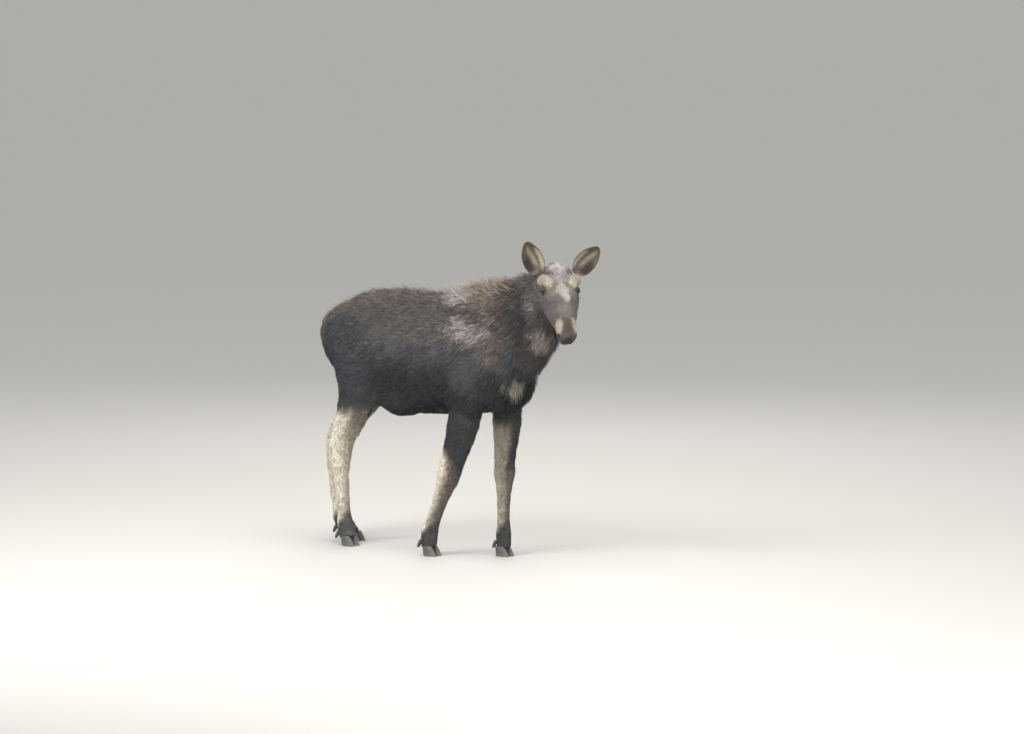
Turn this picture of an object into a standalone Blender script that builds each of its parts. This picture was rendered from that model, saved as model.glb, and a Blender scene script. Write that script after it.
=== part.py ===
"""A life-size standing young bull moose: its outline out to the coat, hooves, eyes and antler buds.

Body frame while modelling: +X towards the chest, +Y to the animal's left, +Z up, floor at Z = 0, metres.
The finished model is moved so that its bounding box is centred over the origin.
"""

import math

import bmesh
import bpy
import numpy as np
from mathutils import Matrix, Vector

# ---------------------------------------------------------------- driving sizes, in metres
GAP = 0.0004              # clearance between neighbouring nodes
VOXEL = 0.0065            # cell size when the flesh is fused into one skin
SMOOTH_PASSES = 12        # over the whole skin
TORSO_PASSES = 160        # more over trunk, neck and upper legs, where the masses blend
BODY_TRIANGLES = 4000     # of the whole skin that the body's nodes are cut from
HEAD_TRIANGLES = 8800     # of the whole skin that the head is cut from
TORSO_FADE_Z = (0.78, 0.98)   # the extra smoothing starts and is full at these heights
HEAD_FADE = 0.10          # and is full this far behind the poll, and below the jaw
HEAD_DEPTH = 0.27         # from the face line down to below the jaw
FADE_STEPS = 10           # the fading is done in this many steps
RING_POINTS = 40
CORONET_Z = 0.056         # where the hair ends and the hoof wall starts
COAT_CREASE = math.radians(50)   # edges of the coat's pieces sharper than this are not shaded smooth
HORN_CREASE = math.radians(40)

POLL = Vector((1.034, -0.035, 1.788))   # top of the skull between the ears
HEAD_YAW = math.radians(-42.3)          # the head is turned to the animal's right
HEAD_PITCH = math.radians(34.0)         # the face slopes this far below level

EYE_RADIUS = 0.0185
EYE_AT = (0.156, -0.040, 0.0980)        # along the face, above it, out to the side, from the poll
EAR_LENGTH = 0.206
EAR_HALF_WIDTH = 0.063
EAR_THICKNESS = 0.007
EAR_THINNING = 0.45                     # share of the thickness lost towards the tip
EAR_LEAF = (0.78, 0.60)                 # powers that shape the leaf's outline
EAR_STEM = 0.030                        # half width of the rolled root
EAR_TIP = 0.004                         # least half width
EAR_CUP = (0.034, 0.006)                # depth of the cup, lost towards the tip, and kept all the way
EAR_CURL = 1.35                         # radians the cup's section bends from its middle to its edge
EAR_LEAN = 0.018                        # how far the ear bows back halfway up
EAR_ROOT = (0.005, -0.038, 0.112)       # along the face, above it, out to the side, from the poll
# Which way each ear points, forward, left and up of the turned head, and how far its opening turns left.
EAR_DIRECTIONS = {"left": (0.00, 0.66, 0.75, 0.12), "right": (0.00, -0.36, 0.93, -0.12)}

# ---------------------------------------------------------------- the stations that shape the flesh
# Each row: x, z of the section's centre, its reach up, reach down and half width.
TRUNK = (
    (-0.826, 1.345, 0.030, 0.030, 0.030),
    (-0.808, 1.345, 0.085, 0.072, 0.080),
    (-0.750, 1.315, 0.172, 0.132, 0.140),
    (-0.640, 1.275, 0.266, 0.226, 0.200),
    (-0.480, 1.245, 0.333, 0.300, 0.236),
    (-0.250, 1.222, 0.373, 0.345, 0.250),
    (0.000, 1.205, 0.388, 0.360, 0.258),
    (0.180, 1.205, 0.393, 0.352, 0.246),
    (0.360, 1.215, 0.438, 0.345, 0.226),
    (0.500, 1.225, 0.430, 0.335, 0.202),
    (0.620, 1.225, 0.360, 0.295, 0.168),
    (0.715, 1.215, 0.250, 0.225, 0.125),
    (0.775, 1.205, 0.110, 0.120, 0.060),
)
# Each row: x, y, z of the centre, reach up, reach down, half width, and the yaw of its plane in degrees.
NECK = (
    (0.360, 0.000, 1.290, 0.330, 0.300, 0.190, 0),
    (0.500, 0.000, 1.335, 0.345, 0.335, 0.190, 0),
    (0.630, -0.003, 1.400, 0.312, 0.342, 0.172, -4),
    (0.750, -0.010, 1.475, 0.272, 0.330, 0.150, -10),
    (0.860, -0.022, 1.555, 0.228, 0.280, 0.134, -20),
    (0.950, -0.035, 1.630, 0.188, 0.215, 0.120, -30),
    (1.015, -0.048, 1.680, 0.140, 0.145, 0.105, -38),
)
# Joints of each leg down to the sole: blade or hip, elbow or stifle, knee or hock, fetlock, sole.
LEG_JOINTS = {
    "foreleg_right": ((0.400, -0.105, 1.420), (0.435, -0.152, 0.980), (0.266, -0.142, 0.495),
                      (0.114, -0.136, 0.135), (0.130, -0.136, 0.010)),
    "foreleg_left": ((0.400, 0.105, 1.420), (0.480, 0.152, 0.980), (0.470, 0.140, 0.495),
                     (0.468, 0.138, 0.135), (0.474, 0.138, 0.010)),
    "hindleg_right": ((-0.490, -0.115, 1.360), (-0.425, -0.163, 1.040), (-0.612, -0.116, 0.625),
                      (-0.598, -0.102, 0.140), (-0.560, -0.100, 0.010)),
    "hindleg_left": ((-0.500, 0.115, 1.360), (-0.595, 0.158, 1.020), (-0.850, 0.116, 0.625),
                     (-0.815, 0.102, 0.140), (-0.690, 0.100, 0.010)),
}
# How stout each leg is beside the tables below, which fit the two near legs.
LEG_GIRTH = {"foreleg_right": 1.0, "foreleg_left": 0.90, "hindleg_right": 1.0, "hindleg_left": 0.95}
# Each row: place along the joints (1.5 is halfway from the second to the third), reach to the front,
# reach to the back, and half width.
FORELEG = (
    (0.00, 0.110, 0.120, 0.070),
    (0.50, 0.145, 0.150, 0.088),
    (0.90, 0.140, 0.150, 0.090),
    (1.15, 0.116, 0.124, 0.083),
    (1.35, 0.110, 0.114, 0.075),
    (1.60, 0.094, 0.095, 0.062),
    (1.80, 0.084, 0.084, 0.055),
    (2.00, 0.083, 0.078, 0.058),
    (2.14, 0.068, 0.065, 0.049),
    (2.35, 0.052, 0.054, 0.040),
    (2.65, 0.048, 0.051, 0.037),
    (2.85, 0.051, 0.053, 0.041),
    (3.00, 0.056, 0.060, 0.048),
    (3.40, 0.051, 0.052, 0.046),
    (3.90, 0.052, 0.046, 0.047),
)
HINDLEG = (
    (0.00, 0.170, 0.165, 0.088),
    (0.50, 0.200, 0.185, 0.102),
    (1.00, 0.168, 0.184, 0.104),
    (1.25, 0.152, 0.134, 0.092),
    (1.50, 0.138, 0.098, 0.076),
    (1.75, 0.116, 0.080, 0.060),
    (1.92, 0.094, 0.082, 0.053),
    (2.08, 0.080, 0.086, 0.051),
    (2.35, 0.058, 0.062, 0.045),
    (2.60, 0.048, 0.051, 0.037),
    (2.85, 0.046, 0.049, 0.038),
    (3.00, 0.054, 0.057, 0.046),
    (3.40, 0.050, 0.051, 0.045),
    (3.90, 0.052, 0.046, 0.046),
)
TAIL = (
    (-0.770, 1.415, 0.028, 0.028, 0.034),
    (-0.808, 1.385, 0.034, 0.034, 0.036),
    (-0.832, 1.335, 0.030, 0.030, 0.032),
    (-0.838, 1.290, 0.022, 0.022, 0.022),
    (-0.838, 1.265, 0.008, 0.008, 0.008),
)
# Head rows: distance along the face from the poll, height over the face line, reach up, down, half width.
SKULL = (
    (-0.110, -0.115, 0.080, 0.070, 0.066),
    (-0.060, -0.113, 0.112, 0.112, 0.095),
    (0.000, -0.108, 0.128, 0.132, 0.110),
    (0.060, -0.104, 0.128, 0.142, 0.118),
    (0.120, -0.102, 0.124, 0.144, 0.120),
    (0.175, -0.098, 0.113, 0.142, 0.116),
    (0.235, -0.094, 0.101, 0.132, 0.106),
    (0.295, -0.090, 0.092, 0.115, 0.092),
    (0.362, -0.086, 0.086, 0.096, 0.078),
    (0.420, -0.084, 0.085, 0.082, 0.066),
    (0.478, -0.084, 0.083, 0.068, 0.059),
    (0.522, -0.088, 0.073, 0.057, 0.054),
    (0.554, -0.095, 0.054, 0.045, 0.044),
    (0.572, -0.103, 0.027, 0.025, 0.028),
)
JAW = (
    (0.060, -0.190, 0.060, 0.058, 0.070),
    (0.150, -0.192, 0.055, 0.056, 0.068),
    (0.260, -0.186, 0.045, 0.047, 0.056),
    (0.345, -0.174, 0.038, 0.040, 0.046),
    (0.420, -0.164, 0.034, 0.036, 0.042),
    (0.472, -0.158, 0.029, 0.033, 0.038),
    (0.502, -0.152, 0.016, 0.020, 0.025),
)
# Rounded masses of the head, on both sides: centre along, above and across, then reach the same three ways.
HEAD_MASSES = (
    ((0.110, -0.150, 0.084), (0.100, 0.088, 0.040)),   # cheek
    ((0.143, -0.038, 0.086), (0.060, 0.036, 0.032)),   # rim of the eye
    ((0.095, -0.010, 0.072), (0.055, 0.030, 0.042)),   # brow, up to the antler bud
    ((0.512, -0.076, 0.036), (0.044, 0.036, 0.023)),   # wing of the nostril
)
# Rounded masses of the body, on both sides: centre, then radii.
SIDE_MASSES = (
    ((-0.550, 0.115, 1.310), (0.190, 0.110, 0.190)),   # haunch
    ((0.580, 0.108, 1.095), (0.155, 0.112, 0.190)),    # point of the shoulder
    ((-0.290, 0.150, 0.955), (0.110, 0.060, 0.075)),   # fold of the flank
    ((-0.130, 0.085, 0.946), (0.190, 0.125, 0.122)),   # belly
)
MIDDLE_MASSES = (
    ((0.592, 0.000, 1.040), (0.152, 0.150, 0.168)),    # brisket
    ((0.455, 0.000, 1.570), (0.175, 0.080, 0.112)),    # hump over the withers
    ((0.970, -0.045, 1.385), (0.085, 0.070, 0.110)),   # hair of the throat
)
LEG_MASSES = (
    ((-0.668, -0.116, 0.630), (0.042, 0.028, 0.055)),  # point of the right hock
    ((-0.893, 0.116, 0.628), (0.050, 0.030, 0.050)),   # point of the left hock
    ((0.340, -0.152, 0.975), (0.080, 0.060, 0.080)),   # right elbow
    ((0.390, 0.152, 0.975), (0.075, 0.058, 0.075)),    # left elbow
)

COAT_COLOURS = {
    "trunk": (0.075, 0.066, 0.060),
    "neck": (0.070, 0.060, 0.054),
    "head": (0.140, 0.120, 0.105),
    "tail": (0.080, 0.068, 0.060),
    "foreleg": (0.120, 0.108, 0.095),
    "hindleg": (0.500, 0.455, 0.370),
    "ear": (0.130, 0.110, 0.090),
    "bud": (0.480, 0.420, 0.330),
}
HORN_COLOUR = (0.040, 0.036, 0.033)
EYE_COLOUR = (0.012, 0.008, 0.006)


# ---------------------------------------------------------------- scene and materials
def clear_scene():
    for obj in list(bpy.data.objects):
        bpy.data.objects.remove(obj)


def make_material(name, colour, roughness):
    material = bpy.data.materials.new(name)
    material.use_nodes = True
    shader = material.node_tree.nodes["Principled BSDF"]
    shader.inputs["Base Color"].default_value = (*colour, 1.0)
    shader.inputs["Roughness"].default_value = roughness
    shader.inputs["Metallic"].default_value = 0.0
    return material


def add_object(name, mesh, material=None):
    obj = bpy.data.objects.new(name, mesh)
    bpy.context.scene.collection.objects.link(obj)
    if material is not None:
        mesh.materials.clear()
        mesh.materials.append(material)
    return obj


def hide_helper(obj):
    obj.hide_render = True
    obj.display_type = "WIRE"


# ---------------------------------------------------------------- sections carried along a line
def catmull_rom(rows, places):
    """Values of a smooth curve through the rows; place 1.5 is halfway from row 1 to row 2."""
    rows = np.array(rows, float)
    padded = np.vstack([2 * rows[0] - rows[1], rows, 2 * rows[-1] - rows[-2]])
    places = np.clip(np.array(places, float), 0.0, len(rows) - 1.0)
    first = np.minimum(places.astype(int), len(rows) - 2)
    t = (places - first)[:, None]
    p0, p1, p2, p3 = (padded[first + i] for i in range(4))
    return 0.5 * (2 * p1 + (p2 - p0) * t + (2 * p0 - 5 * p1 + 4 * p2 - p3) * t**2
                  + (3 * p1 - p0 - 3 * p2 + p3) * t**3)


def unit(vectors):
    return vectors / np.maximum(np.linalg.norm(vectors, axis=-1, keepdims=True), 1e-9)


def section_rings(stations, per_span=4, points=RING_POINTS):
    """Closed oval rings square to the line of centres.

    A station is x, y, z, reach along tangent x side, reach the other way, half width, yaw of the side axis.
    """
    places = np.linspace(0, len(stations) - 1, (len(stations) - 1) * per_span + 1)
    rows = catmull_rom(stations, places)
    centres, (up, down, half), yaw = rows[:, :3], rows[:, 3:6].T, np.radians(rows[:, 6])
    tangent = unit(np.gradient(centres, axis=0))
    side = np.stack([-np.sin(yaw), np.cos(yaw), np.zeros_like(yaw)], axis=1)
    side = unit(side - (side * tangent).sum(1, keepdims=True) * tangent)
    above = np.cross(tangent, side)
    angle = 2 * math.pi * np.arange(points) / points
    cosine, sine = np.cos(angle), np.sin(angle)
    reach = np.where(sine[None] > 0, up[:, None], down[:, None]) * sine[None]
    return (centres[:, None] + side[:, None] * (half[:, None] * cosine[None])[..., None]
            + above[:, None] * reach[..., None])


def straight_rings(rows, **settings):
    """Rings along a line in the middle plane, from rows of x, z, up, down, half width."""
    return section_rings([(x, 0.0, z, up, down, half, 0.0) for x, z, up, down, half in rows], **settings)


def leg_rings(leg):
    """Rings of one leg: its joints give the line, the table of its kind the girth."""
    table = FORELEG if leg.startswith("fore") else HINDLEG
    girth = LEG_GIRTH[leg]
    centres = catmull_rom(LEG_JOINTS[leg], [row[0] for row in table])
    return section_rings([(*centre, front * girth, back * girth, half * girth, 0.0)
                          for centre, (_, front, back, half) in zip(centres, table)])


def loft_into(bm, rings):
    """Joins the rings to a closed tube, with a fan over each end."""
    rows = [[bm.verts.new(point) for point in ring] for ring in rings]
    count = len(rows[0])
    for lower, upper in zip(rows, rows[1:]):
        for i in range(count):
            j = (i + 1) % count
            bm.faces.new((lower[i], lower[j], upper[j], upper[i]))
    for row in (rows[0], rows[-1]):
        centre = bm.verts.new(sum((v.co for v in row), Vector()) / count)
        for i in range(count):
            bm.faces.new((row[i], row[(i + 1) % count], centre))


def mass_into(bm, centre, radii, frame=None):
    """An ellipsoid with these radii, in the given frame."""
    matrix = (frame or Matrix()) @ Matrix.Translation(centre) @ Matrix.Diagonal((*radii, 1.0))
    bmesh.ops.create_icosphere(bm, subdivisions=3, radius=1.0, matrix=matrix)


def mesh_from(bm, name):
    bmesh.ops.recalc_face_normals(bm, faces=bm.faces)
    mesh = bpy.data.meshes.new(name)
    bm.to_mesh(mesh)
    bm.free()
    return mesh


# ---------------------------------------------------------------- the head's own frame
def head_matrix():
    """Columns: along the face to the nose, to the animal's left, up from the face; origin at the poll."""
    turned = Matrix.Rotation(HEAD_YAW, 4, "Z") @ Matrix.Rotation(HEAD_PITCH, 4, "Y")
    return Matrix.Translation(POLL) @ turned


def head_point(along, above, across):
    return head_matrix() @ Vector((along, across, above))


def head_rings(rows):
    """The rows' ovals, set up in head coordinates and moved to the head's place."""
    matrix = np.array(head_matrix())
    return straight_rings(rows) @ matrix[:3, :3].T + matrix[:3, 3]


# ---------------------------------------------------------------- the whole skin, fused
def rough_flesh():
    """Every loft and mass of the flesh in one mesh, still crossing one another."""
    bm = bmesh.new()
    rings = [straight_rings(TRUNK), section_rings(NECK), head_rings(SKULL), head_rings(JAW)]
    for part_rings in rings + [leg_rings(leg) for leg in LEG_JOINTS]:
        loft_into(bm, part_rings)
    for (x, y, z), radii in SIDE_MASSES:
        for side in (1, -1):
            mass_into(bm, (x, side * y, z), radii)
    for centre, radii in MIDDLE_MASSES + LEG_MASSES:
        mass_into(bm, centre, radii)
    for (along, above, across), (length, height, width) in HEAD_MASSES:
        for side in (1, -1):
            mass_into(bm, (along, side * across, above), (length, width, height), head_matrix())
    return mesh_from(bm, "rough_flesh")


def evaluated_mesh(obj, name):
    """The object's mesh with its modifiers applied, as a new mesh."""
    graph = bpy.context.evaluated_depsgraph_get()
    graph.update()
    mesh = bpy.data.meshes.new_from_object(obj.evaluated_get(graph))
    mesh.name = name
    return mesh


def soften_torso(obj):
    """Smooths where it is weighted: fully above the elbows, fading out before the head and down the legs."""
    count = len(obj.data.vertices)
    places = np.empty(count * 3)
    obj.data.vertices.foreach_get("co", places)
    places = places.reshape(-1, 3)
    along_face, _, over_face = ((places - np.array(POLL)) @ np.array(head_matrix().to_3x3())).T
    low, high = TORSO_FADE_Z
    outside_head = np.maximum(-along_face, -HEAD_DEPTH - over_face) / HEAD_FADE
    weights = np.clip((places[:, 2] - low) / (high - low), 0, 1) * np.clip(outside_head, 0, 1)
    group = obj.vertex_groups.new(name="torso")
    for step in range(1, FADE_STEPS + 1):
        chosen = np.flatnonzero(np.round(weights * FADE_STEPS) == step)
        group.add(chosen.tolist(), step / FADE_STEPS, "REPLACE")
    smooth = obj.modifiers.new("blend", "SMOOTH")
    smooth.vertex_group = group.name
    smooth.factor = 0.5
    smooth.iterations = TORSO_PASSES


def fused_flesh():
    """One closed skin, fused by a voxel remesh and smoothed."""
    source = add_object("flesh_source", rough_flesh())
    remesh = source.modifiers.new("fuse", "REMESH")
    remesh.mode = "VOXEL"
    remesh.voxel_size = VOXEL
    smooth = source.modifiers.new("soften", "SMOOTH")
    smooth.factor = 0.5
    smooth.iterations = SMOOTH_PASSES
    fine = add_object("flesh_fine", evaluated_mesh(source, "flesh_fine"))
    bpy.data.objects.remove(source)
    soften_torso(fine)
    mesh = evaluated_mesh(fine, "flesh")
    bpy.data.objects.remove(fine)
    return mesh


def thinned(mesh, triangles):
    """A copy of the mesh with about this many triangles."""
    worker = add_object("thinning", mesh)
    thin = worker.modifiers.new("thin", "DECIMATE")
    thin.decimate_type = "COLLAPSE"
    thin.ratio = triangles / (2.0 * len(mesh.polygons))
    thin.use_collapse_triangulate = True
    result = evaluated_mesh(worker, "flesh")
    bpy.data.objects.remove(worker)
    return result


# ---------------------------------------------------------------- cutters that part the skin
def prism_cutter(name, outline, y_low, y_high):
    """A closed block: an outline in the X-Z plane carried from y_low to y_high."""
    bm = bmesh.new()
    near = [bm.verts.new((x, y_low, z)) for x, z in outline]
    far = [bm.verts.new((x, y_high, z)) for x, z in outline]
    bm.faces.new(near)
    bm.faces.new(far[::-1])
    count = len(outline)
    for i in range(count):
        j = (i + 1) % count
        bm.faces.new((near[j], near[i], far[i], far[j]))
    obj = add_object(name, mesh_from(bm, name))
    hide_helper(obj)
    return obj


def leg_outline(top_x, top_z, half_top, foot_x, grow):
    """An arch over the top of the leg and a wide block down to the coronet, widened all round by grow."""
    rise = top_z - ARCH_FOOT_Z
    arch = [(top_x + (half_top + grow) * math.cos(a), ARCH_FOOT_Z + (rise + grow) * math.sin(a))
            for a in np.linspace(0.0, math.pi, ARCH_POINTS)]
    front, rear = foot_x + FOOT_REACH + grow, foot_x - FOOT_REACH - grow
    shoulder, base = FOOT_TOP_Z + grow, CORONET_Z - grow
    return [(front, base), (front, shoulder), *arch, (rear, shoulder), (rear, base)]


ARCH_FOOT_Z = 0.86        # where the arch over each leg springs from
ARCH_POINTS = 13
FOOT_TOP_Z = 0.76         # below this the cutter is a block
FOOT_REACH = 0.30         # and this far to the front and back of the foot
# Each leg's region: middle and top of its arch, its half width, the foot's middle, side, inner limit.
LEG_REGIONS = {
    "foreleg_right": (0.435, 1.090, 0.190, 0.260, -1, 0.060),
    "foreleg_left": (0.465, 1.090, 0.190, 0.500, 1, 0.060),
    "hindleg_right": (-0.480, 1.200, 0.225, -0.540, -1, 0.022),
    "hindleg_left": (-0.575, 1.200, 0.275, -0.780, 1, 0.022),
}


def leg_cutter(node, grow):
    top_x, top_z, half_top, foot_x, side, inner = LEG_REGIONS[node]
    outline = leg_outline(top_x, top_z, half_top, foot_x, grow)
    ends = sorted((side * (inner - grow), side * 0.50))
    return prism_cutter(f"cut_{node}_{'big' if grow else 'fit'}", outline, *ends)


def box_cutter(name, matrix, low, high):
    """A box between two corners of the given frame."""
    bm = bmesh.new()
    centre = (Vector(low) + Vector(high)) / 2
    size = Vector(high) - Vector(low)
    bmesh.ops.create_cube(bm, size=1.0,
                          matrix=matrix @ Matrix.Translation(centre) @ Matrix.Diagonal((*size, 1.0)))
    obj = add_object(name, mesh_from(bm, name))
    hide_helper(obj)
    return obj


# The head parts from the neck on a plane from behind the poll to the throat, a little turned to the neck.
HEAD_BACK_TOP = (-0.221, 0.400)        # along the face and above it, as are the next two
HEAD_BACK_LOW = (0.080, -0.268)
HEAD_FRONT = 0.900
HEAD_SKEW = 0.20          # how far the plane leans back for each metre to the animal's left
HEAD_CUT_HALF = 0.40      # the cutter's half width
NECK_BASE = Vector((0.570, 0.0, 1.350))
NECK_RISE = math.radians(38.0)
NECK_BLOCK = ((0.0, -0.6, -0.6), (1.2, 0.6, 0.9))     # corners of the neck's cutter
FEET_BLOCK = ((-2.0, -1.0, -0.5), (2.0, 1.0, CORONET_Z))


def head_cutter(grow):
    """A four-sided block round the head; only its back and its underside move out by grow."""
    name = f"cut_head_{'big' if grow else 'fit'}"
    (back, top), (back_low, low) = HEAD_BACK_TOP, HEAD_BACK_LOW
    bm = bmesh.new()
    ends = []
    for across in (-HEAD_CUT_HALF, HEAD_CUT_HALF):
        lean = grow + HEAD_SKEW * across
        corners = ((back - lean, top), (HEAD_FRONT, top),
                   (HEAD_FRONT, low - grow), (back_low - lean, low - grow))
        ends.append([bm.verts.new(head_point(along, above, across)) for along, above in corners])
    near, far = ends
    bm.faces.new(near)
    bm.faces.new(far[::-1])
    for i in range(4):
        j = (i + 1) % 4
        bm.faces.new((near[j], near[i], far[i], far[j]))
    obj = add_object(name, mesh_from(bm, name))
    hide_helper(obj)
    return obj


def neck_cutter(grow):
    """Everything in front of the tilted plane at the root of the neck."""
    matrix = Matrix.Translation(NECK_BASE) @ Matrix.Rotation(-NECK_RISE, 4, "Y")
    (back, right, low), high_corner = NECK_BLOCK
    return box_cutter(f"cut_neck_{'big' if grow else 'fit'}", matrix, (back - grow, right, low), high_corner)


def apply_boolean(obj, cutter, operation):
    modifier = obj.modifiers.new(f"{operation.lower()}_{cutter.name}", "BOOLEAN")
    modifier.operation = operation
    modifier.object = cutter
    modifier.solver = "EXACT"


def largest_body(mesh):
    """Keeps only the largest connected body of the mesh, by its number of faces."""
    bm = bmesh.new()
    bm.from_mesh(mesh)
    left = set(bm.verts)
    bodies = []
    while left:
        seed = left.pop()
        body, front = {seed}, [seed]
        while front:
            for edge in front.pop().link_edges:
                for vert in edge.verts:
                    if vert in left:
                        left.remove(vert)
                        body.add(vert)
                        front.append(vert)
        bodies.append(body)
    bodies.sort(key=len)
    bmesh.ops.delete(bm, geom=[v for body in bodies[:-1] for v in body], context="VERTS")
    bmesh.ops.triangulate(bm, faces=bm.faces)
    bm.to_mesh(mesh)
    bm.free()


def cut_node(name, flesh, steps, material):
    """A copy of the whole skin with each (cutter, operation) applied in turn."""
    worker = add_object(f"{name}_work", flesh.copy())
    for cutter, operation in steps:
        apply_boolean(worker, cutter, operation)
    mesh = evaluated_mesh(worker, name)
    bpy.data.objects.remove(worker)
    largest_body(mesh)
    obj = add_object(name, mesh, material)
    mesh.shade_smooth()
    mesh.set_sharp_from_angle(angle=COAT_CREASE)
    return obj


# ---------------------------------------------------------------- eyes, ears, buds, tail
def ball(name, centre, radius, material=None):
    bm = bmesh.new()
    bmesh.ops.create_icosphere(bm, subdivisions=2, radius=radius, matrix=Matrix.Translation(centre))
    obj = add_object(name, mesh_from(bm, name), material)
    obj.data.shade_smooth()
    return obj


def ear_frame(forward, left, up, facing_left):
    """Axes of an ear: along it, across it and out of its opening, from directions in the turned head."""
    turn = Matrix.Rotation(HEAD_YAW, 3, "Z")
    along = (turn @ Vector((forward, left, up))).normalized()
    opening = turn @ Vector((1.0, facing_left, 0.15))
    opening = (opening - opening.dot(along) * along).normalized()
    across = opening.cross(along)
    return along, across, opening


def ear_mesh(name, base, frame):
    """A leaf rolled into a cup: crescent rings from the root to the rounded point.

    Half width: EAR_HALF_WIDTH * sin(pi * t**power)**power, with a narrow rolled root.
    Depth of the cup: deepest at the root, nearly flat at the tip.
    """
    along, across, opening = (np.array(axis) for axis in frame)
    inner_power, outer_power = EAR_LEAF
    bm = bmesh.new()
    rings = []
    across_steps = np.linspace(-1.0, 1.0, 9)
    for t in np.linspace(0.0, 1.0, 11):
        leaf = math.sin(math.pi * min(t * 0.96 + 0.02, 0.99)**inner_power)**outer_power
        half = max(EAR_HALF_WIDTH * leaf, EAR_STEM * (1 - t)**2 + EAR_TIP)
        cup = EAR_CUP[0] * (1 - t)**0.8 + EAR_CUP[1]
        wall = EAR_THICKNESS * (1.0 - EAR_THINNING * t)
        lean = EAR_LEAN * math.sin(math.pi * t)
        centre = np.array(base) + along * (EAR_LENGTH * t) - opening * lean
        inner = [centre + across * half * math.sin(EAR_CURL * s) / math.sin(EAR_CURL)
                 - opening * cup * (1 - s * s) for s in across_steps]
        outer = [centre + across * (half + 0.35 * wall) * math.sin(EAR_CURL * s) / math.sin(EAR_CURL)
                 - opening * (cup * (1 - s * s) + wall) for s in across_steps[::-1]]
        rings.append([bm.verts.new(point) for point in inner + outer])
    count = len(rings[0])
    for lower, upper in zip(rings, rings[1:]):
        for i in range(count):
            j = (i + 1) % count
            bm.faces.new((lower[i], lower[j], upper[j], upper[i]))
    for ring in (rings[0], rings[-1]):
        for i in range(count // 2 - 1):
            bm.faces.new((ring[i], ring[i + 1], ring[count - 2 - i], ring[count - 1 - i]))
    return mesh_from(bm, name)


BUD_ROOT = (0.100, -0.036, 0.060)       # along the face, above it, out to the side
BUD_CROWN = (0.086, -0.018, 0.101)
BUD_RADIUS = 0.037
# Share of the way from root to crown, and share of the radius.
BUD_PROFILE = ((0.0, 0.96), (0.5, 1.0), (0.95, 1.02), (1.28, 0.90), (1.52, 0.64), (1.64, 0.28))


def peg_rings(root, turn, length, profile, corners, flat=1.0):
    """Rings of a peg along the turned Z axis; a row of the profile is a share of its length and a radius."""
    angles = np.linspace(0, 2 * math.pi, corners, endpoint=False)
    return [[root + turn @ Vector((radius * math.cos(a), flat * radius * math.sin(a), share * length))
             for a in angles] for share, radius in profile]


def bud_mesh(name, side):
    """A short hair-covered antler stub: a blunt round-ended peg standing out from the brow."""
    root, crown = (head_point(along, above, side * across) for along, above, across in (BUD_ROOT, BUD_CROWN))
    axis = crown - root
    turn = axis.to_track_quat("Z", "Y").to_matrix()
    profile = [(share, BUD_RADIUS * width) for share, width in BUD_PROFILE]
    bm = bmesh.new()
    loft_into(bm, peg_rings(root, turn, axis.length, profile, 12))
    return mesh_from(bm, name)


def grown_copy(source, name, by):
    """A helper: a copy of the closed mesh, moved outwards along its vertex normals."""
    mesh = source.copy()
    helper = add_object(name, mesh)
    bm = bmesh.new()
    bm.from_mesh(mesh)
    bm.normal_update()
    shifts = [vert.normal * by for vert in bm.verts]
    for vert, shift in zip(bm.verts, shifts):
        vert.co += shift
    bm.to_mesh(mesh)
    bm.free()
    hide_helper(helper)
    return helper


def trimmed(obj, cutters):
    """Cuts the cutters' volumes off a small piece and keeps its largest body."""
    for cutter in cutters:
        apply_boolean(obj, cutter, "DIFFERENCE")
    mesh = evaluated_mesh(obj, obj.name)
    obj.modifiers.clear()
    material = obj.data.materials[0]
    obj.data = mesh
    largest_body(mesh)
    mesh.materials.clear()
    mesh.materials.append(material)
    mesh.shade_smooth()
    mesh.set_sharp_from_angle(angle=COAT_CREASE)
    return obj


# ---------------------------------------------------------------- hooves
TOE_LENGTH = 0.052        # from the toe's middle to its point
TOE_HEEL = 0.042
TOE_HALF = 0.0240
TOE_INNER = 0.74          # share of the half width left on the cleft side
TOE_POINTING = (0.42, 0.10)   # how far the outer and the cleft side close in towards the point
# Each row: height, scale of the toe's length to the front, of its width, and its shift.
TOE_LEVELS = (
    (0.0, 1.0, 1.0, 0.0),
    (0.006, 1.03, 1.03, 0.0),
    (0.030, 0.84, 0.99, -0.004),
    (CORONET_Z - GAP, 0.62, 0.92, -0.010),
)


def toe_outline(scale_front, scale_back, half, sign, count=12):
    """A pointed half-heart seen from above: straight on the cleft side, bowed outside."""
    points = []
    for angle in np.linspace(0, 2 * math.pi, count, endpoint=False):
        c, s = math.cos(angle), math.sin(angle)
        front = scale_front * math.copysign(abs(c)**0.80, c) if c > 0 else scale_back * c
        inner = sign * s < 0
        bow = TOE_INNER if inner else 1.0
        taper = 1.0 - TOE_POINTING[inner] * max(c, 0.0)**2
        points.append((front, s * half * bow * taper))
    return points


def toe_mesh(name, centre_x, centre_y, side):
    """One hoof wall: its outline narrows and slopes back from the flat sole to the coronet."""
    bm = bmesh.new()
    rings = []
    for z, front, width, shift in TOE_LEVELS:
        outline = toe_outline(TOE_LENGTH * front, TOE_HEEL * (0.9 + 0.1 * front), TOE_HALF * width, side)
        rings.append([Vector((centre_x + shift + x, centre_y + y, z)) for x, y in outline])
    loft_into(bm, rings)
    return mesh_from(bm, name)


CLAW_PLACE = 3.30         # place of the dewclaws along the leg's joints
CLAW_SPREAD = 0.024       # and to each side of it
CLAW_BACK = 0.048         # their root's distance behind the middle of the leg
CLAW_LENGTH = 0.038
CLAW_PROFILE = ((-0.35, 0.013), (0.0, 0.015), (0.45, 0.0135), (0.8, 0.009), (1.0, 0.004))
CLAW_FLATNESS = 0.75
CLAW_POINTING = (-0.38, 0.20, -0.90)   # towards the back, out to its side and down


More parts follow.
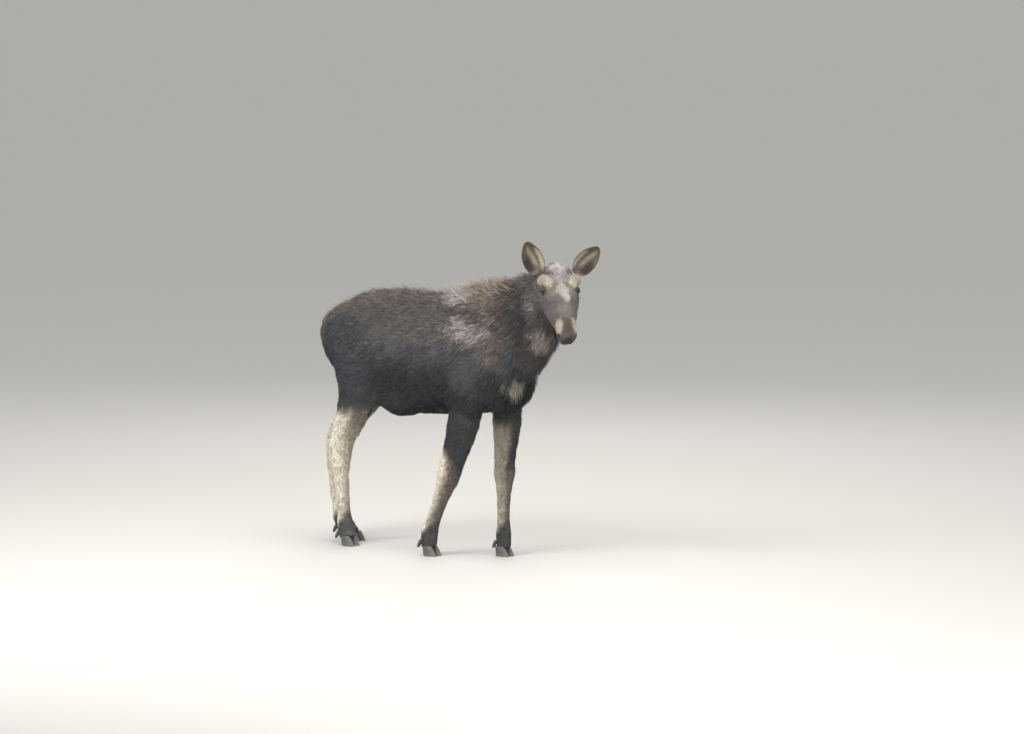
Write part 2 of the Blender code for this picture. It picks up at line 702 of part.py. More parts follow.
def dewclaw_mesh(name, root, side):
    """A small horn peg behind the fetlock, pointing down and back."""
    back, out, down = CLAW_POINTING
    axis = Vector((back, side * out, down))
    turn = axis.to_track_quat("Z", "Y").to_matrix()
    bm = bmesh.new()
    loft_into(bm, peg_rings(root, turn, CLAW_LENGTH, CLAW_PROFILE, 6, CLAW_FLATNESS))
    return mesh_from(bm, name)


TOE_SPREAD = 0.0250       # from the middle of the foot to the middle of a toe


def make_feet(skin_grown, horn):
    """Two toes and two dewclaws under each leg; the skin's grown copy is cut off the dewclaws."""
    for leg, joints in LEG_JOINTS.items():
        foot_x, foot_y, _ = joints[4]
        claw_x, _, claw_z = catmull_rom(joints, [CLAW_PLACE])[0]
        place = leg.replace("leg_", "_")
        for side, word in ((1, "left_toe"), (-1, "right_toe")):
            mesh = toe_mesh(f"hoof_{place}_{word}", foot_x, foot_y + side * TOE_SPREAD, side)
            add_object(mesh.name, mesh, horn)
            mesh.shade_smooth()
            mesh.set_sharp_from_angle(angle=HORN_CREASE)
            claw_root = Vector((claw_x - CLAW_BACK, foot_y + side * CLAW_SPREAD, claw_z))
            word = word.replace("toe", "dewclaw")
            claw = add_object(f"{word}_{place}", dewclaw_mesh(f"{word}_{place}", claw_root, side), horn)
            trimmed(claw, [skin_grown])


# ---------------------------------------------------------------- assembly
def centre_over_origin(nodes):
    """Moves every node so that the box of them all is centred over the origin."""
    corners = np.array([tuple(v.co) for obj in nodes for v in obj.data.vertices])
    middle = (corners.min(0) + corners.max(0)) / 2
    shift = Matrix.Translation((-middle[0], -middle[1], 0.0))
    for obj in nodes:
        obj.data.transform(shift)


def build_moose():
    clear_scene()
    coats = {name: make_material(f"coat_{name}", colour, 0.85) for name, colour in COAT_COLOURS.items()}
    horn = make_material("hoof_horn", HORN_COLOUR, 0.55)
    wet_eye = make_material("eye", EYE_COLOUR, 0.12)
    whole = fused_flesh()
    flesh_body, flesh_head = thinned(whole, BODY_TRIANGLES), thinned(whole, HEAD_TRIANGLES)

    eyes = {}
    sockets = []
    for word, side in (("left", 1), ("right", -1)):
        along, above, across = EYE_AT
        centre = head_point(along, above, side * across)
        eyes[word] = ball(f"eye_{word}", centre, EYE_RADIUS, wet_eye)
        socket = ball(f"socket_{word}", centre, EYE_RADIUS + 2 * GAP)
        hide_helper(socket)
        sockets.append(socket)

    fit_legs = {node: leg_cutter(node, 0.0) for node in LEG_REGIONS}
    big_legs = {node: leg_cutter(node, GAP) for node in LEG_REGIONS}
    neck_fit, neck_big = neck_cutter(0.0), neck_cutter(GAP)
    head_fit, head_big = head_cutter(0.0), head_cutter(GAP)

    trunk_steps = [(cutter, "DIFFERENCE") for cutter in big_legs.values()]
    feet_box = box_cutter("cut_below_coronet", Matrix(), *FEET_BLOCK)
    cut_node("trunk", flesh_body, [*trunk_steps, (feet_box, "DIFFERENCE"), (neck_big, "DIFFERENCE")],
             coats["trunk"])
    cut_node("neck", flesh_body, [(neck_fit, "INTERSECT"), (head_big, "DIFFERENCE")], coats["neck"])
    cut_node("head", flesh_head, [(head_fit, "INTERSECT")] + [(s, "DIFFERENCE") for s in sockets],
             coats["head"])
    for node, cutter in fit_legs.items():
        cut_node(node, flesh_body, [(cutter, "INTERSECT")], coats[node.split("_")[0]])

    body_grown = grown_copy(flesh_body, "cut_round_body", GAP)
    head_grown = grown_copy(flesh_head, "cut_round_head", GAP)
    for word, side in (("left", 1), ("right", -1)):
        along, above, across = EAR_ROOT
        base = head_point(along, above, side * across)
        ear = add_object(f"ear_{word}", ear_mesh(f"ear_{word}", base, ear_frame(*EAR_DIRECTIONS[word])),
                         coats["ear"])
        bud = add_object(f"antler_bud_{word}", bud_mesh(f"antler_bud_{word}", side), coats["bud"])
        bud_grown = grown_copy(bud.data, f"cut_round_bud_{word}", GAP)
        trimmed(bud, [head_grown])
        trimmed(ear, [head_grown, body_grown, bud_grown])

    bm = bmesh.new()
    loft_into(bm, straight_rings(TAIL, per_span=2, points=10))
    tail = add_object("tail", mesh_from(bm, "tail"), coats["tail"])
    trimmed(tail, [body_grown])

    make_feet(body_grown, horn)
    centre_over_origin([obj for obj in bpy.data.objects if obj.type == "MESH" and not obj.hide_render])


build_moose()
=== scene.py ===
import math

import bmesh
import bpy
import numpy as np
from mathutils import Matrix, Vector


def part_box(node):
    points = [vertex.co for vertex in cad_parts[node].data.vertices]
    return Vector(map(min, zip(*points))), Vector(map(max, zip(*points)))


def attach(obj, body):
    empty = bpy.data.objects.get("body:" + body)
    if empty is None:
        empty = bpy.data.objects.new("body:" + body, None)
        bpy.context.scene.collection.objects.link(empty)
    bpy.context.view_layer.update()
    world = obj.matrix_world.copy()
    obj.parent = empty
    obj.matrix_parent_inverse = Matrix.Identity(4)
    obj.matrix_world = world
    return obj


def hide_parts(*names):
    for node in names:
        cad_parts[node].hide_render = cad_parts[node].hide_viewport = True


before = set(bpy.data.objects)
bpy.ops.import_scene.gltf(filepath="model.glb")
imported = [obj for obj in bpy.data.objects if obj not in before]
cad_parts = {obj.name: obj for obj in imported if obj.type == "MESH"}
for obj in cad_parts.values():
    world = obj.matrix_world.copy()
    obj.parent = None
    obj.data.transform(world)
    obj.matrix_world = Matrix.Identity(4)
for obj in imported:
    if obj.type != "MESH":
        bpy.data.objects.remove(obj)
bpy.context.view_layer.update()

# The shapes are worked out in the modeller's own coordinates (chest at +X, floor at 0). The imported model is
# centred over the origin, so finished points move by "shift", found from where the left eye came to lie.

headPose = {
    "poll": (1.034, -0.035, 1.788),  # top of the skull between the ears
    "yaw": -42.3,  # degrees, the head turned to the animal's right
    "pitch": 34.0,  # degrees, the face slopes this far below level
}
eye = {
    "place": (0.156, -0.04, 0.098),  # along the face, above it, out to the side
    "radius": 0.0185,
}


def turnAbout(axis, degrees):
    # rotation matrix about Z or Y
    c, s = math.cos(math.radians(degrees)), math.sin(math.radians(degrees))
    if axis == "Z":
        return np.array([[c, -s, 0], [s, c, 0], [0, 0, 1.0]])
    return np.array([[c, 0, s], [0, 1.0, 0], [-s, 0, c]])


poll = np.array(headPose["poll"])
headAxes = turnAbout("Z", headPose["yaw"]) @ turnAbout("Y", headPose["pitch"])  # columns: nose, left, up


def headPoint(along, above, across):
    # poll + nose * along + left * across + up * above
    return poll + headAxes @ np.array([along, across, above])


def toHead(points):
    # (along, above, across) of each point
    local = (points - poll) @ headAxes
    return local[:, [0, 2, 1]]


def foldedHead(place):
    # both sides of the head as one: across counts outwards
    return np.stack([place[:, 0], place[:, 1], np.abs(place[:, 2])], 1)


eyeCentre = {"left": headPoint(*eye["place"]),
             "right": headPoint(eye["place"][0], eye["place"][1], -eye["place"][2])}
shift = np.array(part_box("eye_left")).mean(0) - eyeCentre["left"]

# camera, lights and floor
camera = {
    "azimuth": 40.0,  # degrees round the animal
    "elevation": 6.0,
    "distance": 40.0,  # metres
    "lens": 232.0,  # mm
    "sensor": 36.0,
    "right": 0.49697,  # metres from the modeller's origin to the middle of the view
    "up": 1.12121,
    "middle": 0.9,  # height of the sighting point
}


def viewAxes(azimuth, elevation):
    a, e = math.radians(azimuth), math.radians(elevation)
    back = np.array([math.sin(a) * math.cos(e), -math.cos(a) * math.cos(e), math.sin(e)])
    right = np.array([math.cos(a), math.sin(a), 0.0])
    return right, np.cross(back, right), back


def turnedObject(name, data, place, axes):
    # an object whose local X, Y, Z are the three axes
    obj = bpy.data.objects.new(name, data)
    matrix = np.eye(4)
    matrix[:3, :3] = np.array(axes).T
    matrix[:3, 3] = place
    obj.matrix_world = Matrix(matrix.tolist())
    bpy.context.scene.collection.objects.link(obj)
    return obj


def makeCamera():
    right, up, back = viewAxes(camera["azimuth"], camera["elevation"])
    place = shift + right * camera["right"] + up * camera["up"]
    place = place + back * (camera["middle"] * back[2] + camera["distance"])
    data = bpy.data.cameras.new("longLens")
    data.lens, data.sensor_width, data.clip_end = camera["lens"], camera["sensor"], 5 * camera["distance"]
    bpy.context.scene.camera = turnedObject("longLens", data, place, (right, up, back))


lights = {
    # azimuth, elevation, distance, size, watts
    "openSky": (60, 70, 7.0, 6.0, 460),
    "softKey": (-5, 42, 7.0, 3.5, 430),
    "fill": (62, 10, 8.0, 6.0, 330),
    "backFill": (215, 35, 8.0, 5.0, 200),
}
studio = {
    "aim": (0.0, 0.0, 1.0),  # what the lights point at
    "sky": (0.94, 0.96, 1.0, 1.0),
    "skyStrength": 0.95,
    "floor": "aeaaa3",
    "floorHalf": 160.0,  # metres
}


def makeLights():
    for name, (azimuth, elevation, distance, size, watts) in lights.items():
        axes = viewAxes(azimuth, elevation)
        data = bpy.data.lights.new(name, "AREA")
        data.shape, data.size, data.energy = "DISK", size, watts
        turnedObject(name, data, np.array(studio["aim"]) + axes[2] * distance, axes)
    world = bpy.data.worlds.new("studio")
    world.use_nodes = True
    background = world.node_tree.nodes["Background"]
    background.inputs["Color"].default_value = studio["sky"]
    background.inputs["Strength"].default_value = studio["skyStrength"]
    bpy.context.scene.world = world
    bpy.context.scene.view_settings.view_transform = "Standard"


# small helpers
def linear(hexColour):
    # sRGB hex to linear
    values = np.array([int(hexColour[i:i + 2], 16) for i in (0, 2, 4)]) / 255.0
    return np.where(values <= 0.04045, values / 12.92, ((values + 0.055) / 1.055) ** 2.4)


def rgba(hexColour):
    return (*linear(hexColour), 1.0)


def unit(vectors):
    return vectors / np.maximum(np.linalg.norm(vectors, axis=-1, keepdims=True), 1e-9)


def smooth(low, high, value):
    # 0 at low, 1 at high, an S between them
    t = np.clip((value - low) / (high - low), 0.0, 1.0)
    return t * t * (3 - 2 * t)


def waves(points, size, seed):
    # a smooth uneven value from about -1 to 1: the mean of eight sine waves of about this wavelength
    rng = np.random.default_rng(seed)
    directions = unit(rng.normal(size=(8, 3))) * (2 * math.pi / size) * rng.uniform(0.6, 1.6, (8, 1))
    return np.sin(points @ directions.T + rng.uniform(0, 6.28, 8)).sum(1) / 3.2


def curveThrough(rows, places):
    # a Catmull-Rom curve through the rows; place 1.5 is halfway from row 1 to row 2
    rows = np.array(rows, float)
    padded = np.vstack([2 * rows[0] - rows[1], rows, 2 * rows[-1] - rows[-2]])
    places = np.clip(np.array(places, float), 0.0, len(rows) - 1.0)
    first = np.minimum(places.astype(int), len(rows) - 2)
    t = (places - first)[:, None]
    p0, p1, p2, p3 = (padded[first + i] for i in range(4))
    return 0.5 * (2 * p1 + (p2 - p0) * t + (2 * p0 - 5 * p1 + 4 * p2 - p3) * t**2
                  + (3 * p1 - p0 - 3 * p2 + p3) * t**3)


def circle(count):
    return 2 * math.pi * np.arange(count) / count


def ovalRings(stations, perSpan=4, count=40):
    # a section carried along a path: centre + side * half * cos(a) + above * reach(a) * sin(a), where a
    # station is x, y, z, reach above, reach below, half width and the yaw of the side axis
    rows = curveThrough(stations, np.linspace(0, len(stations) - 1, (len(stations) - 1) * perSpan + 1))
    centres, (up, down, half), yaw = rows[:, :3], rows[:, 3:6].T, np.radians(rows[:, 6])
    tangent = unit(np.gradient(centres, axis=0))
    side = np.stack([-np.sin(yaw), np.cos(yaw), np.zeros_like(yaw)], axis=1)
    side = unit(side - (side * tangent).sum(1, keepdims=True) * tangent)
    above = np.cross(tangent, side)
    a = circle(count)
    reach = np.where(np.sin(a) > 0, up[:, None], down[:, None]) * np.sin(a)
    return (centres[:, None] + side[:, None] * (half[:, None] * np.cos(a))[..., None]
            + above[:, None] * reach[..., None])


def midRings(rows, **settings):
    # rings in the middle plane, from rows of x, z, up, down, half width
    return ovalRings([(x, 0.0, z, up, down, half, 0.0) for x, z, up, down, half in rows], **settings)


def ballRings(centre, radii, axes=np.eye(3), rows=13, count=24):
    # an ellipsoid: centre + axes (rx sin(t) cos(a), ry sin(t) sin(a), rz cos(t))
    t = np.linspace(0.08, math.pi - 0.08, rows)[:, None]
    a = circle(count)
    local = np.stack([np.sin(t) * np.cos(a), np.sin(t) * np.sin(a), np.cos(t) * np.ones(count)], -1)
    return np.array(centre) + (local * np.array(radii)) @ np.array(axes).T


def tubeArrays(rings):
    # points, quads and end triangles of a closed tube through rings[row][corner]
    rows, count = rings.shape[:2]
    index = np.arange(rows * count).reshape(rows, count)
    onward = np.roll(index, -1, axis=1)
    quads = np.stack([index[:-1], onward[:-1], onward[1:], index[1:]], -1).reshape(-1, 4)
    first = np.stack([onward[0], index[0], np.full(count, rows * count)], -1)
    last = np.stack([index[-1], onward[-1], np.full(count, rows * count + 1)], -1)
    points = np.vstack([rings.reshape(-1, 3), rings[0].mean(0), rings[-1].mean(0)])
    return points, quads, np.vstack([first, last])


def joined(parts):
    # several (points, quads, triangles) as one
    points, quads, triangles, start = [], [], [], 0
    for p, q, t in parts:
        points.append(p)
        quads.append(q + start)
        triangles.append(t + start)
        start += len(p)
    return np.vstack(points), np.vstack(quads), np.vstack(triangles)


def meshObject(name, points, quads=None, triangles=None, material=None, moved=True):
    # faces go in as one list of corners, quads first
    quads = np.empty((0, 4), int) if quads is None else quads
    triangles = np.empty((0, 3), int) if triangles is None else triangles
    mesh = bpy.data.meshes.new(name)
    mesh.vertices.add(len(points))
    mesh.vertices.foreach_set("co", (points + (shift if moved else 0)).astype(np.float32).ravel())
    corners = np.concatenate([quads.ravel(), triangles.ravel()])
    mesh.loops.add(len(corners))
    mesh.loops.foreach_set("vertex_index", corners.astype(np.int32))
    starts = np.concatenate([np.arange(len(quads)) * 4, 4 * len(quads) + np.arange(len(triangles)) * 3])
    mesh.polygons.add(len(starts))
    mesh.polygons.foreach_set("loop_start", starts.astype(np.int32))
    mesh.update(calc_edges=True)
    mesh.validate()
    mesh.shade_smooth()
    obj = bpy.data.objects.new(name, mesh)
    bpy.context.scene.collection.objects.link(obj)
    if material is not None:
        mesh.materials.append(material)
    return obj


def meshRows(items, name, width, kind):
    # one property of every vertex, corner or triangle
    values = np.empty(len(items) * width, kind)
    items.foreach_get(name, values)
    return values.reshape(-1, width)


def meshArrays(mesh):
    return [meshRows(mesh.vertices, name, 3, np.float32).astype(float) for name in ("co", "normal")]


def triangleArray(mesh):
    mesh.calc_loop_triangles()
    return meshRows(mesh.loop_triangles, "vertices", 3, np.int32)


def facingOut(points, quads, triangles):
    # turns a closed piece's faces round if its volume comes out negative
    fans = np.vstack([quads[:, [0, 1, 2]], quads[:, [0, 2, 3]], triangles])
    a, b, c = (points[fans[:, i]] - points.mean(0) for i in range(3))
    if np.einsum("ij,ij->i", a, np.cross(b, c)).sum() > 0:
        return points, quads, triangles
    return points, quads[:, ::-1], triangles[:, ::-1]


def closedTube(rings):
    return facingOut(*tubeArrays(rings))


def spreadRows(rows, count):
    # this many rows, evenly along the curve through the given ones
    return curveThrough(rows, np.linspace(0, len(rows) - 1, count))


def pegRings(start, axis, first, second, rows, count):
    # rings of radius rows[:, 1] about start + axis * rows[:, 0]
    a = circle(count)
    ring = first * np.cos(a)[:, None] + second * np.sin(a)[:, None]
    return (start + axis * rows[:, :1])[:, None] + ring * rows[:, 1][:, None, None]


def titled(name):
    return "".join(word.capitalize() for word in name.split("_"))


def setMap(mesh, name, values):
    # a UV map from one value for each point
    corners = meshRows(mesh.loops, "vertex_index", 1, np.int32)[:, 0]
    mesh.uv_layers.new(name=name).data.foreach_set("uv", values[corners].astype(np.float32).ravel())


def setColour(mesh, name, colours):
    layer = mesh.color_attributes.new(name, "FLOAT_COLOR", "POINT")
    values = np.ones((len(colours), 4), np.float32)
    values[:, :3] = colours
    layer.data.foreach_set("color", values.ravel())


def applied(obj):
    # the object's mesh with its modifiers worked in
    graph = bpy.context.evaluated_depsgraph_get()
    graph.update()
    mesh = bpy.data.meshes.new_from_object(obj.evaluated_get(graph))
    old = obj.data
    obj.modifiers.clear()
    obj.data = mesh
    bpy.data.meshes.remove(old)
    return obj


def setSockets(node, sockets):
    # each socket is fed by an output or takes a value
    for name, value in sockets.items():
        if isinstance(value, bpy.types.NodeSocket):
            node.id_data.links.new(value, node.inputs[name])
        else:
            node.inputs[name].default_value = value


def addNode(tree, kind, sockets=None, **settings):
    node = tree.nodes.new(kind)
    for name, value in settings.items():
        setattr(node, name, value)
    setSockets(node, sockets or {})
    return node


def newMaterial(name, sockets):
    # a Principled material, its node tree and its shader
    material = bpy.data.materials.new(name)
    material.use_nodes = True
    shader = material.node_tree.nodes["Principled BSDF"]
    setSockets(shader, sockets)
    return material, material.node_tree, shader


# the shape of the flesh: the outline out to the coat's tips
body = {
    # x, z of the section's centre, reach up, reach down, half width
    "trunk": (
        (-0.826, 1.345, 0.03, 0.03, 0.03), (-0.808, 1.345, 0.085, 0.072, 0.08),
        (-0.75, 1.315, 0.172, 0.132, 0.14), (-0.64, 1.275, 0.266, 0.226, 0.2),
        (-0.48, 1.245, 0.333, 0.3, 0.236), (-0.25, 1.222, 0.373, 0.345, 0.25),
        (0.0, 1.205, 0.388, 0.36, 0.258), (0.18, 1.205, 0.393, 0.352, 0.246),
        (0.36, 1.215, 0.438, 0.345, 0.226), (0.5, 1.225, 0.43, 0.335, 0.202),
        (0.62, 1.225, 0.36, 0.295, 0.168), (0.715, 1.215, 0.25, 0.225, 0.125),
        (0.775, 1.205, 0.11, 0.12, 0.06),
    ),
    # x, y, z of the centre, reach up, reach down, half width, yaw of the plane in degrees
    "neck": (
        (0.36, 0.0, 1.29, 0.33, 0.3, 0.19, 0), (0.5, 0.0, 1.335, 0.345, 0.335, 0.19, 0),
        (0.63, -0.003, 1.4, 0.312, 0.342, 0.172, -4), (0.75, -0.01, 1.475, 0.272, 0.33, 0.15, -10),
        (0.86, -0.022, 1.555, 0.228, 0.28, 0.134, -20), (0.95, -0.035, 1.63, 0.188, 0.215, 0.12, -30),
        (1.015, -0.048, 1.68, 0.14, 0.145, 0.105, -38),
    ),
    "tail": (
        (-0.77, 1.415, 0.028, 0.028, 0.034), (-0.808, 1.385, 0.034, 0.034, 0.036),
        (-0.832, 1.335, 0.03, 0.03, 0.032), (-0.838, 1.29, 0.022, 0.022, 0.022),
        (-0.838, 1.265, 0.008, 0.008, 0.008),
    ),
    # rounded masses: centre, radii, and whether both sides have one
    "masses": (
        ((-0.55, 0.115, 1.31), (0.19, 0.11, 0.19), True),  # haunch
        ((0.58, 0.108, 1.095), (0.155, 0.112, 0.19), True),  # point of the shoulder
        ((-0.29, 0.15, 0.955), (0.11, 0.06, 0.075), True),  # fold of the flank
        ((-0.13, 0.085, 0.946), (0.19, 0.125, 0.122), True),  # belly
        ((0.592, 0.0, 1.04), (0.152, 0.15, 0.168), False),  # brisket
        ((0.455, 0.0, 1.57), (0.175, 0.08, 0.112), False),  # hump over the withers
        ((0.97, -0.045, 1.385), (0.085, 0.07, 0.11), False),  # hair of the throat
        ((-0.668, -0.116, 0.63), (0.042, 0.028, 0.055), False),  # point of the right hock
        ((-0.893, 0.116, 0.628), (0.05, 0.03, 0.05), False),  # point of the left hock
        ((0.34, -0.152, 0.975), (0.08, 0.06, 0.08), False),  # right elbow
        ((0.39, 0.152, 0.975), (0.075, 0.058, 0.075), False),  # left elbow
        ((-0.777, 0.101, 0.13), (0.044, 0.043, 0.034), False),  # left hind pastern
        ((-0.75, 0.1, 0.1), (0.044, 0.042, 0.03), False),
        ((-0.722, 0.1, 0.07), (0.046, 0.042, 0.024), False),  # coronets: left hind,
        ((-0.572, -0.1, 0.07), (0.044, 0.044, 0.024), False),  # right hind,
        ((0.12, -0.136, 0.07), (0.044, 0.044, 0.024), False),  # right fore
        ((0.464, 0.138, 0.07), (0.042, 0.042, 0.024), False),  # and left fore
    ),
    "voxel": 0.0118,
    "passes": 4,
    "torsoPasses": 47,
    "torso": (0.78, 0.98),  # the softening sets in over these heights
    "tailLine": ((-0.838, 0.0, 1.2), (-0.79, 0.0, 1.45)),
}
legs = {
    # blade or hip, elbow or stifle, knee or hock, fetlock, sole
    "joints": {
        "foreleg_right": ((0.4, -0.105, 1.42), (0.435, -0.152, 0.98), (0.266, -0.142, 0.495),
                          (0.114, -0.136, 0.135), (0.13, -0.136, 0.01)),
        "foreleg_left": ((0.4, 0.105, 1.42), (0.48, 0.152, 0.98), (0.47, 0.14, 0.495),
                         (0.468, 0.138, 0.135), (0.474, 0.138, 0.01)),
        "hindleg_right": ((-0.49, -0.115, 1.36), (-0.425, -0.163, 1.04), (-0.612, -0.116, 0.625),
                          (-0.598, -0.102, 0.14), (-0.56, -0.1, 0.01)),
        "hindleg_left": ((-0.5, 0.115, 1.36), (-0.595, 0.158, 1.02), (-0.85, 0.116, 0.625),
                         (-0.815, 0.102, 0.14), (-0.69, 0.1, 0.01)),
    },
    "girth": {"foreleg_right": 1.0, "foreleg_left": 0.9, "hindleg_right": 1.0, "hindleg_left": 0.95},
    # place along the joints, reach to the front, reach to the back, half width
    "foreleg": (
        (0.0, 0.11, 0.12, 0.07), (0.5, 0.145, 0.15, 0.088), (0.9, 0.14, 0.15, 0.09),
        (1.15, 0.116, 0.124, 0.083), (1.35, 0.11, 0.114, 0.075), (1.6, 0.094, 0.095, 0.062),
        (1.8, 0.084, 0.084, 0.055), (2.0, 0.083, 0.078, 0.058), (2.14, 0.068, 0.065, 0.049),
        (2.35, 0.052, 0.054, 0.04), (2.65, 0.048, 0.051, 0.037), (2.85, 0.051, 0.053, 0.041),
        (3.0, 0.056, 0.06, 0.048), (3.4, 0.051, 0.052, 0.046), (3.62, 0.051, 0.049, 0.046),
    ),
    "hindleg": (
        (0.0, 0.17, 0.165, 0.088), (0.5, 0.2, 0.185, 0.102), (1.0, 0.168, 0.184, 0.104),
        (1.25, 0.152, 0.134, 0.092), (1.5, 0.138, 0.098, 0.076), (1.75, 0.116, 0.08, 0.06),
        (1.92, 0.094, 0.082, 0.053), (2.08, 0.08, 0.086, 0.051), (2.35, 0.058, 0.062, 0.045),
        (2.6, 0.048, 0.051, 0.037), (2.85, 0.046, 0.049, 0.038), (3.0, 0.054, 0.057, 0.046),
        (3.4, 0.05, 0.051, 0.045), (3.62, 0.051, 0.049, 0.046),
    ),
}
head = {
    # along the face from the poll, height over the face line, reach up, down, half width
    "skull": (
        (-0.11, -0.115, 0.08, 0.07, 0.066), (-0.06, -0.113, 0.112, 0.112, 0.095),
        (0.0, -0.108, 0.128, 0.132, 0.11), (0.06, -0.104, 0.128, 0.142, 0.118),
        (0.12, -0.102, 0.124, 0.144, 0.12), (0.175, -0.098, 0.113, 0.142, 0.116),
        (0.235, -0.094, 0.101, 0.132, 0.106), (0.295, -0.09, 0.092, 0.115, 0.092),
        (0.362, -0.086, 0.086, 0.096, 0.078), (0.42, -0.084, 0.085, 0.082, 0.066),
        (0.478, -0.084, 0.083, 0.068, 0.059), (0.522, -0.088, 0.073, 0.057, 0.054),
        (0.554, -0.095, 0.054, 0.045, 0.044), (0.572, -0.103, 0.027, 0.025, 0.028),
    ),
    "jaw": (
        (0.06, -0.19, 0.06, 0.058, 0.07), (0.15, -0.192, 0.055, 0.056, 0.068),
        (0.26, -0.186, 0.045, 0.047, 0.056), (0.345, -0.174, 0.038, 0.04, 0.046),
        (0.42, -0.164, 0.034, 0.036, 0.042), (0.472, -0.158, 0.029, 0.033, 0.038),
        (0.502, -0.152, 0.016, 0.02, 0.025),
    ),
    # centre along, above and across, then radii the same three ways, on both sides
    "masses": (
        ((0.11, -0.15, 0.084), (0.1, 0.088, 0.04)),  # cheek
        ((0.143, -0.038, 0.086), (0.06, 0.036, 0.032)),  # rim of the eye
        ((0.095, -0.014, 0.07), (0.056, 0.03, 0.042)),  # brow
        ((0.09, -0.016, 0.09), (0.04, 0.03, 0.03)),  # between brow and bud
        ((0.512, -0.076, 0.036), (0.044, 0.036, 0.023)),  # wing of the nostril
    ),
}


def legRings(name):
    # a leg: level side axis, sections along the curve through its joints
    table = legs[name.split("_")[0]]
    girth = legs["girth"][name]
    centres = curveThrough(legs["joints"][name], [row[0] for row in table])
    return ovalRings([(*centre, *(girth * np.array(reaches)), 0.0)
                      for centre, (_, *reaches) in zip(centres, table)])


def headRings(rows):
    return midRings(rows) @ headAxes.T + poll


def roughFlesh():
    tubes = [midRings(body["trunk"]), ovalRings(body["neck"]), midRings(body["tail"]),
             headRings(head["skull"]), headRings(head["jaw"])]
    tubes += [legRings(name) for name in legs["joints"]]
    for (x, y, z), radii, paired in body["masses"]:
        tubes += [ballRings((x, side * y, z), radii) for side in ((1, -1) if paired else (1,))]
    for (along, above, across), (length, height, width) in head["masses"]:
        tubes += [ballRings(headPoint(along, above, side * across), (length, width, height), headAxes)
                  for side in (1, -1)]
    return joined([tubeArrays(rings) for rings in tubes])


def smoothWhere(obj, weights, passes):
    # Smooth modifier, weighted point by point in tenths
    group = obj.vertex_groups.new(name="soft")
    for step in range(1, 11):
        group.add(np.flatnonzero(np.round(weights * 10) == step).tolist(), step / 10, "REPLACE")
    modifier = obj.modifiers.new("soft", "SMOOTH")
    modifier.vertex_group = group.name
    modifier.factor = 0.5
    modifier.iterations = passes
    applied(obj)
    obj.vertex_groups.clear()


def fusedFlesh():
    # the crossing tubes become one closed skin, softened most over the torso
    obj = meshObject("skin", *roughFlesh(), moved=False)
    remesh = obj.modifiers.new("fuse", "REMESH")
    remesh.mode = "VOXEL"
    remesh.voxel_size = body["voxel"]
    soft = obj.modifiers.new("soft", "SMOOTH")
    soft.factor = 0.5
    soft.iterations = body["passes"]
    applied(obj)
    points = meshArrays(obj.data)[0]
    place = toHead(points)
    outside = np.clip(np.maximum(-place[:, 0], -0.27 - place[:, 1]) / 0.1, 0, 1)  # none of it on the head
    low, high = body["torso"]
    smoothWhere(obj, np.clip((points[:, 2] - low) / (high - low), 0, 1) * outside, body["torsoPasses"])
    return obj


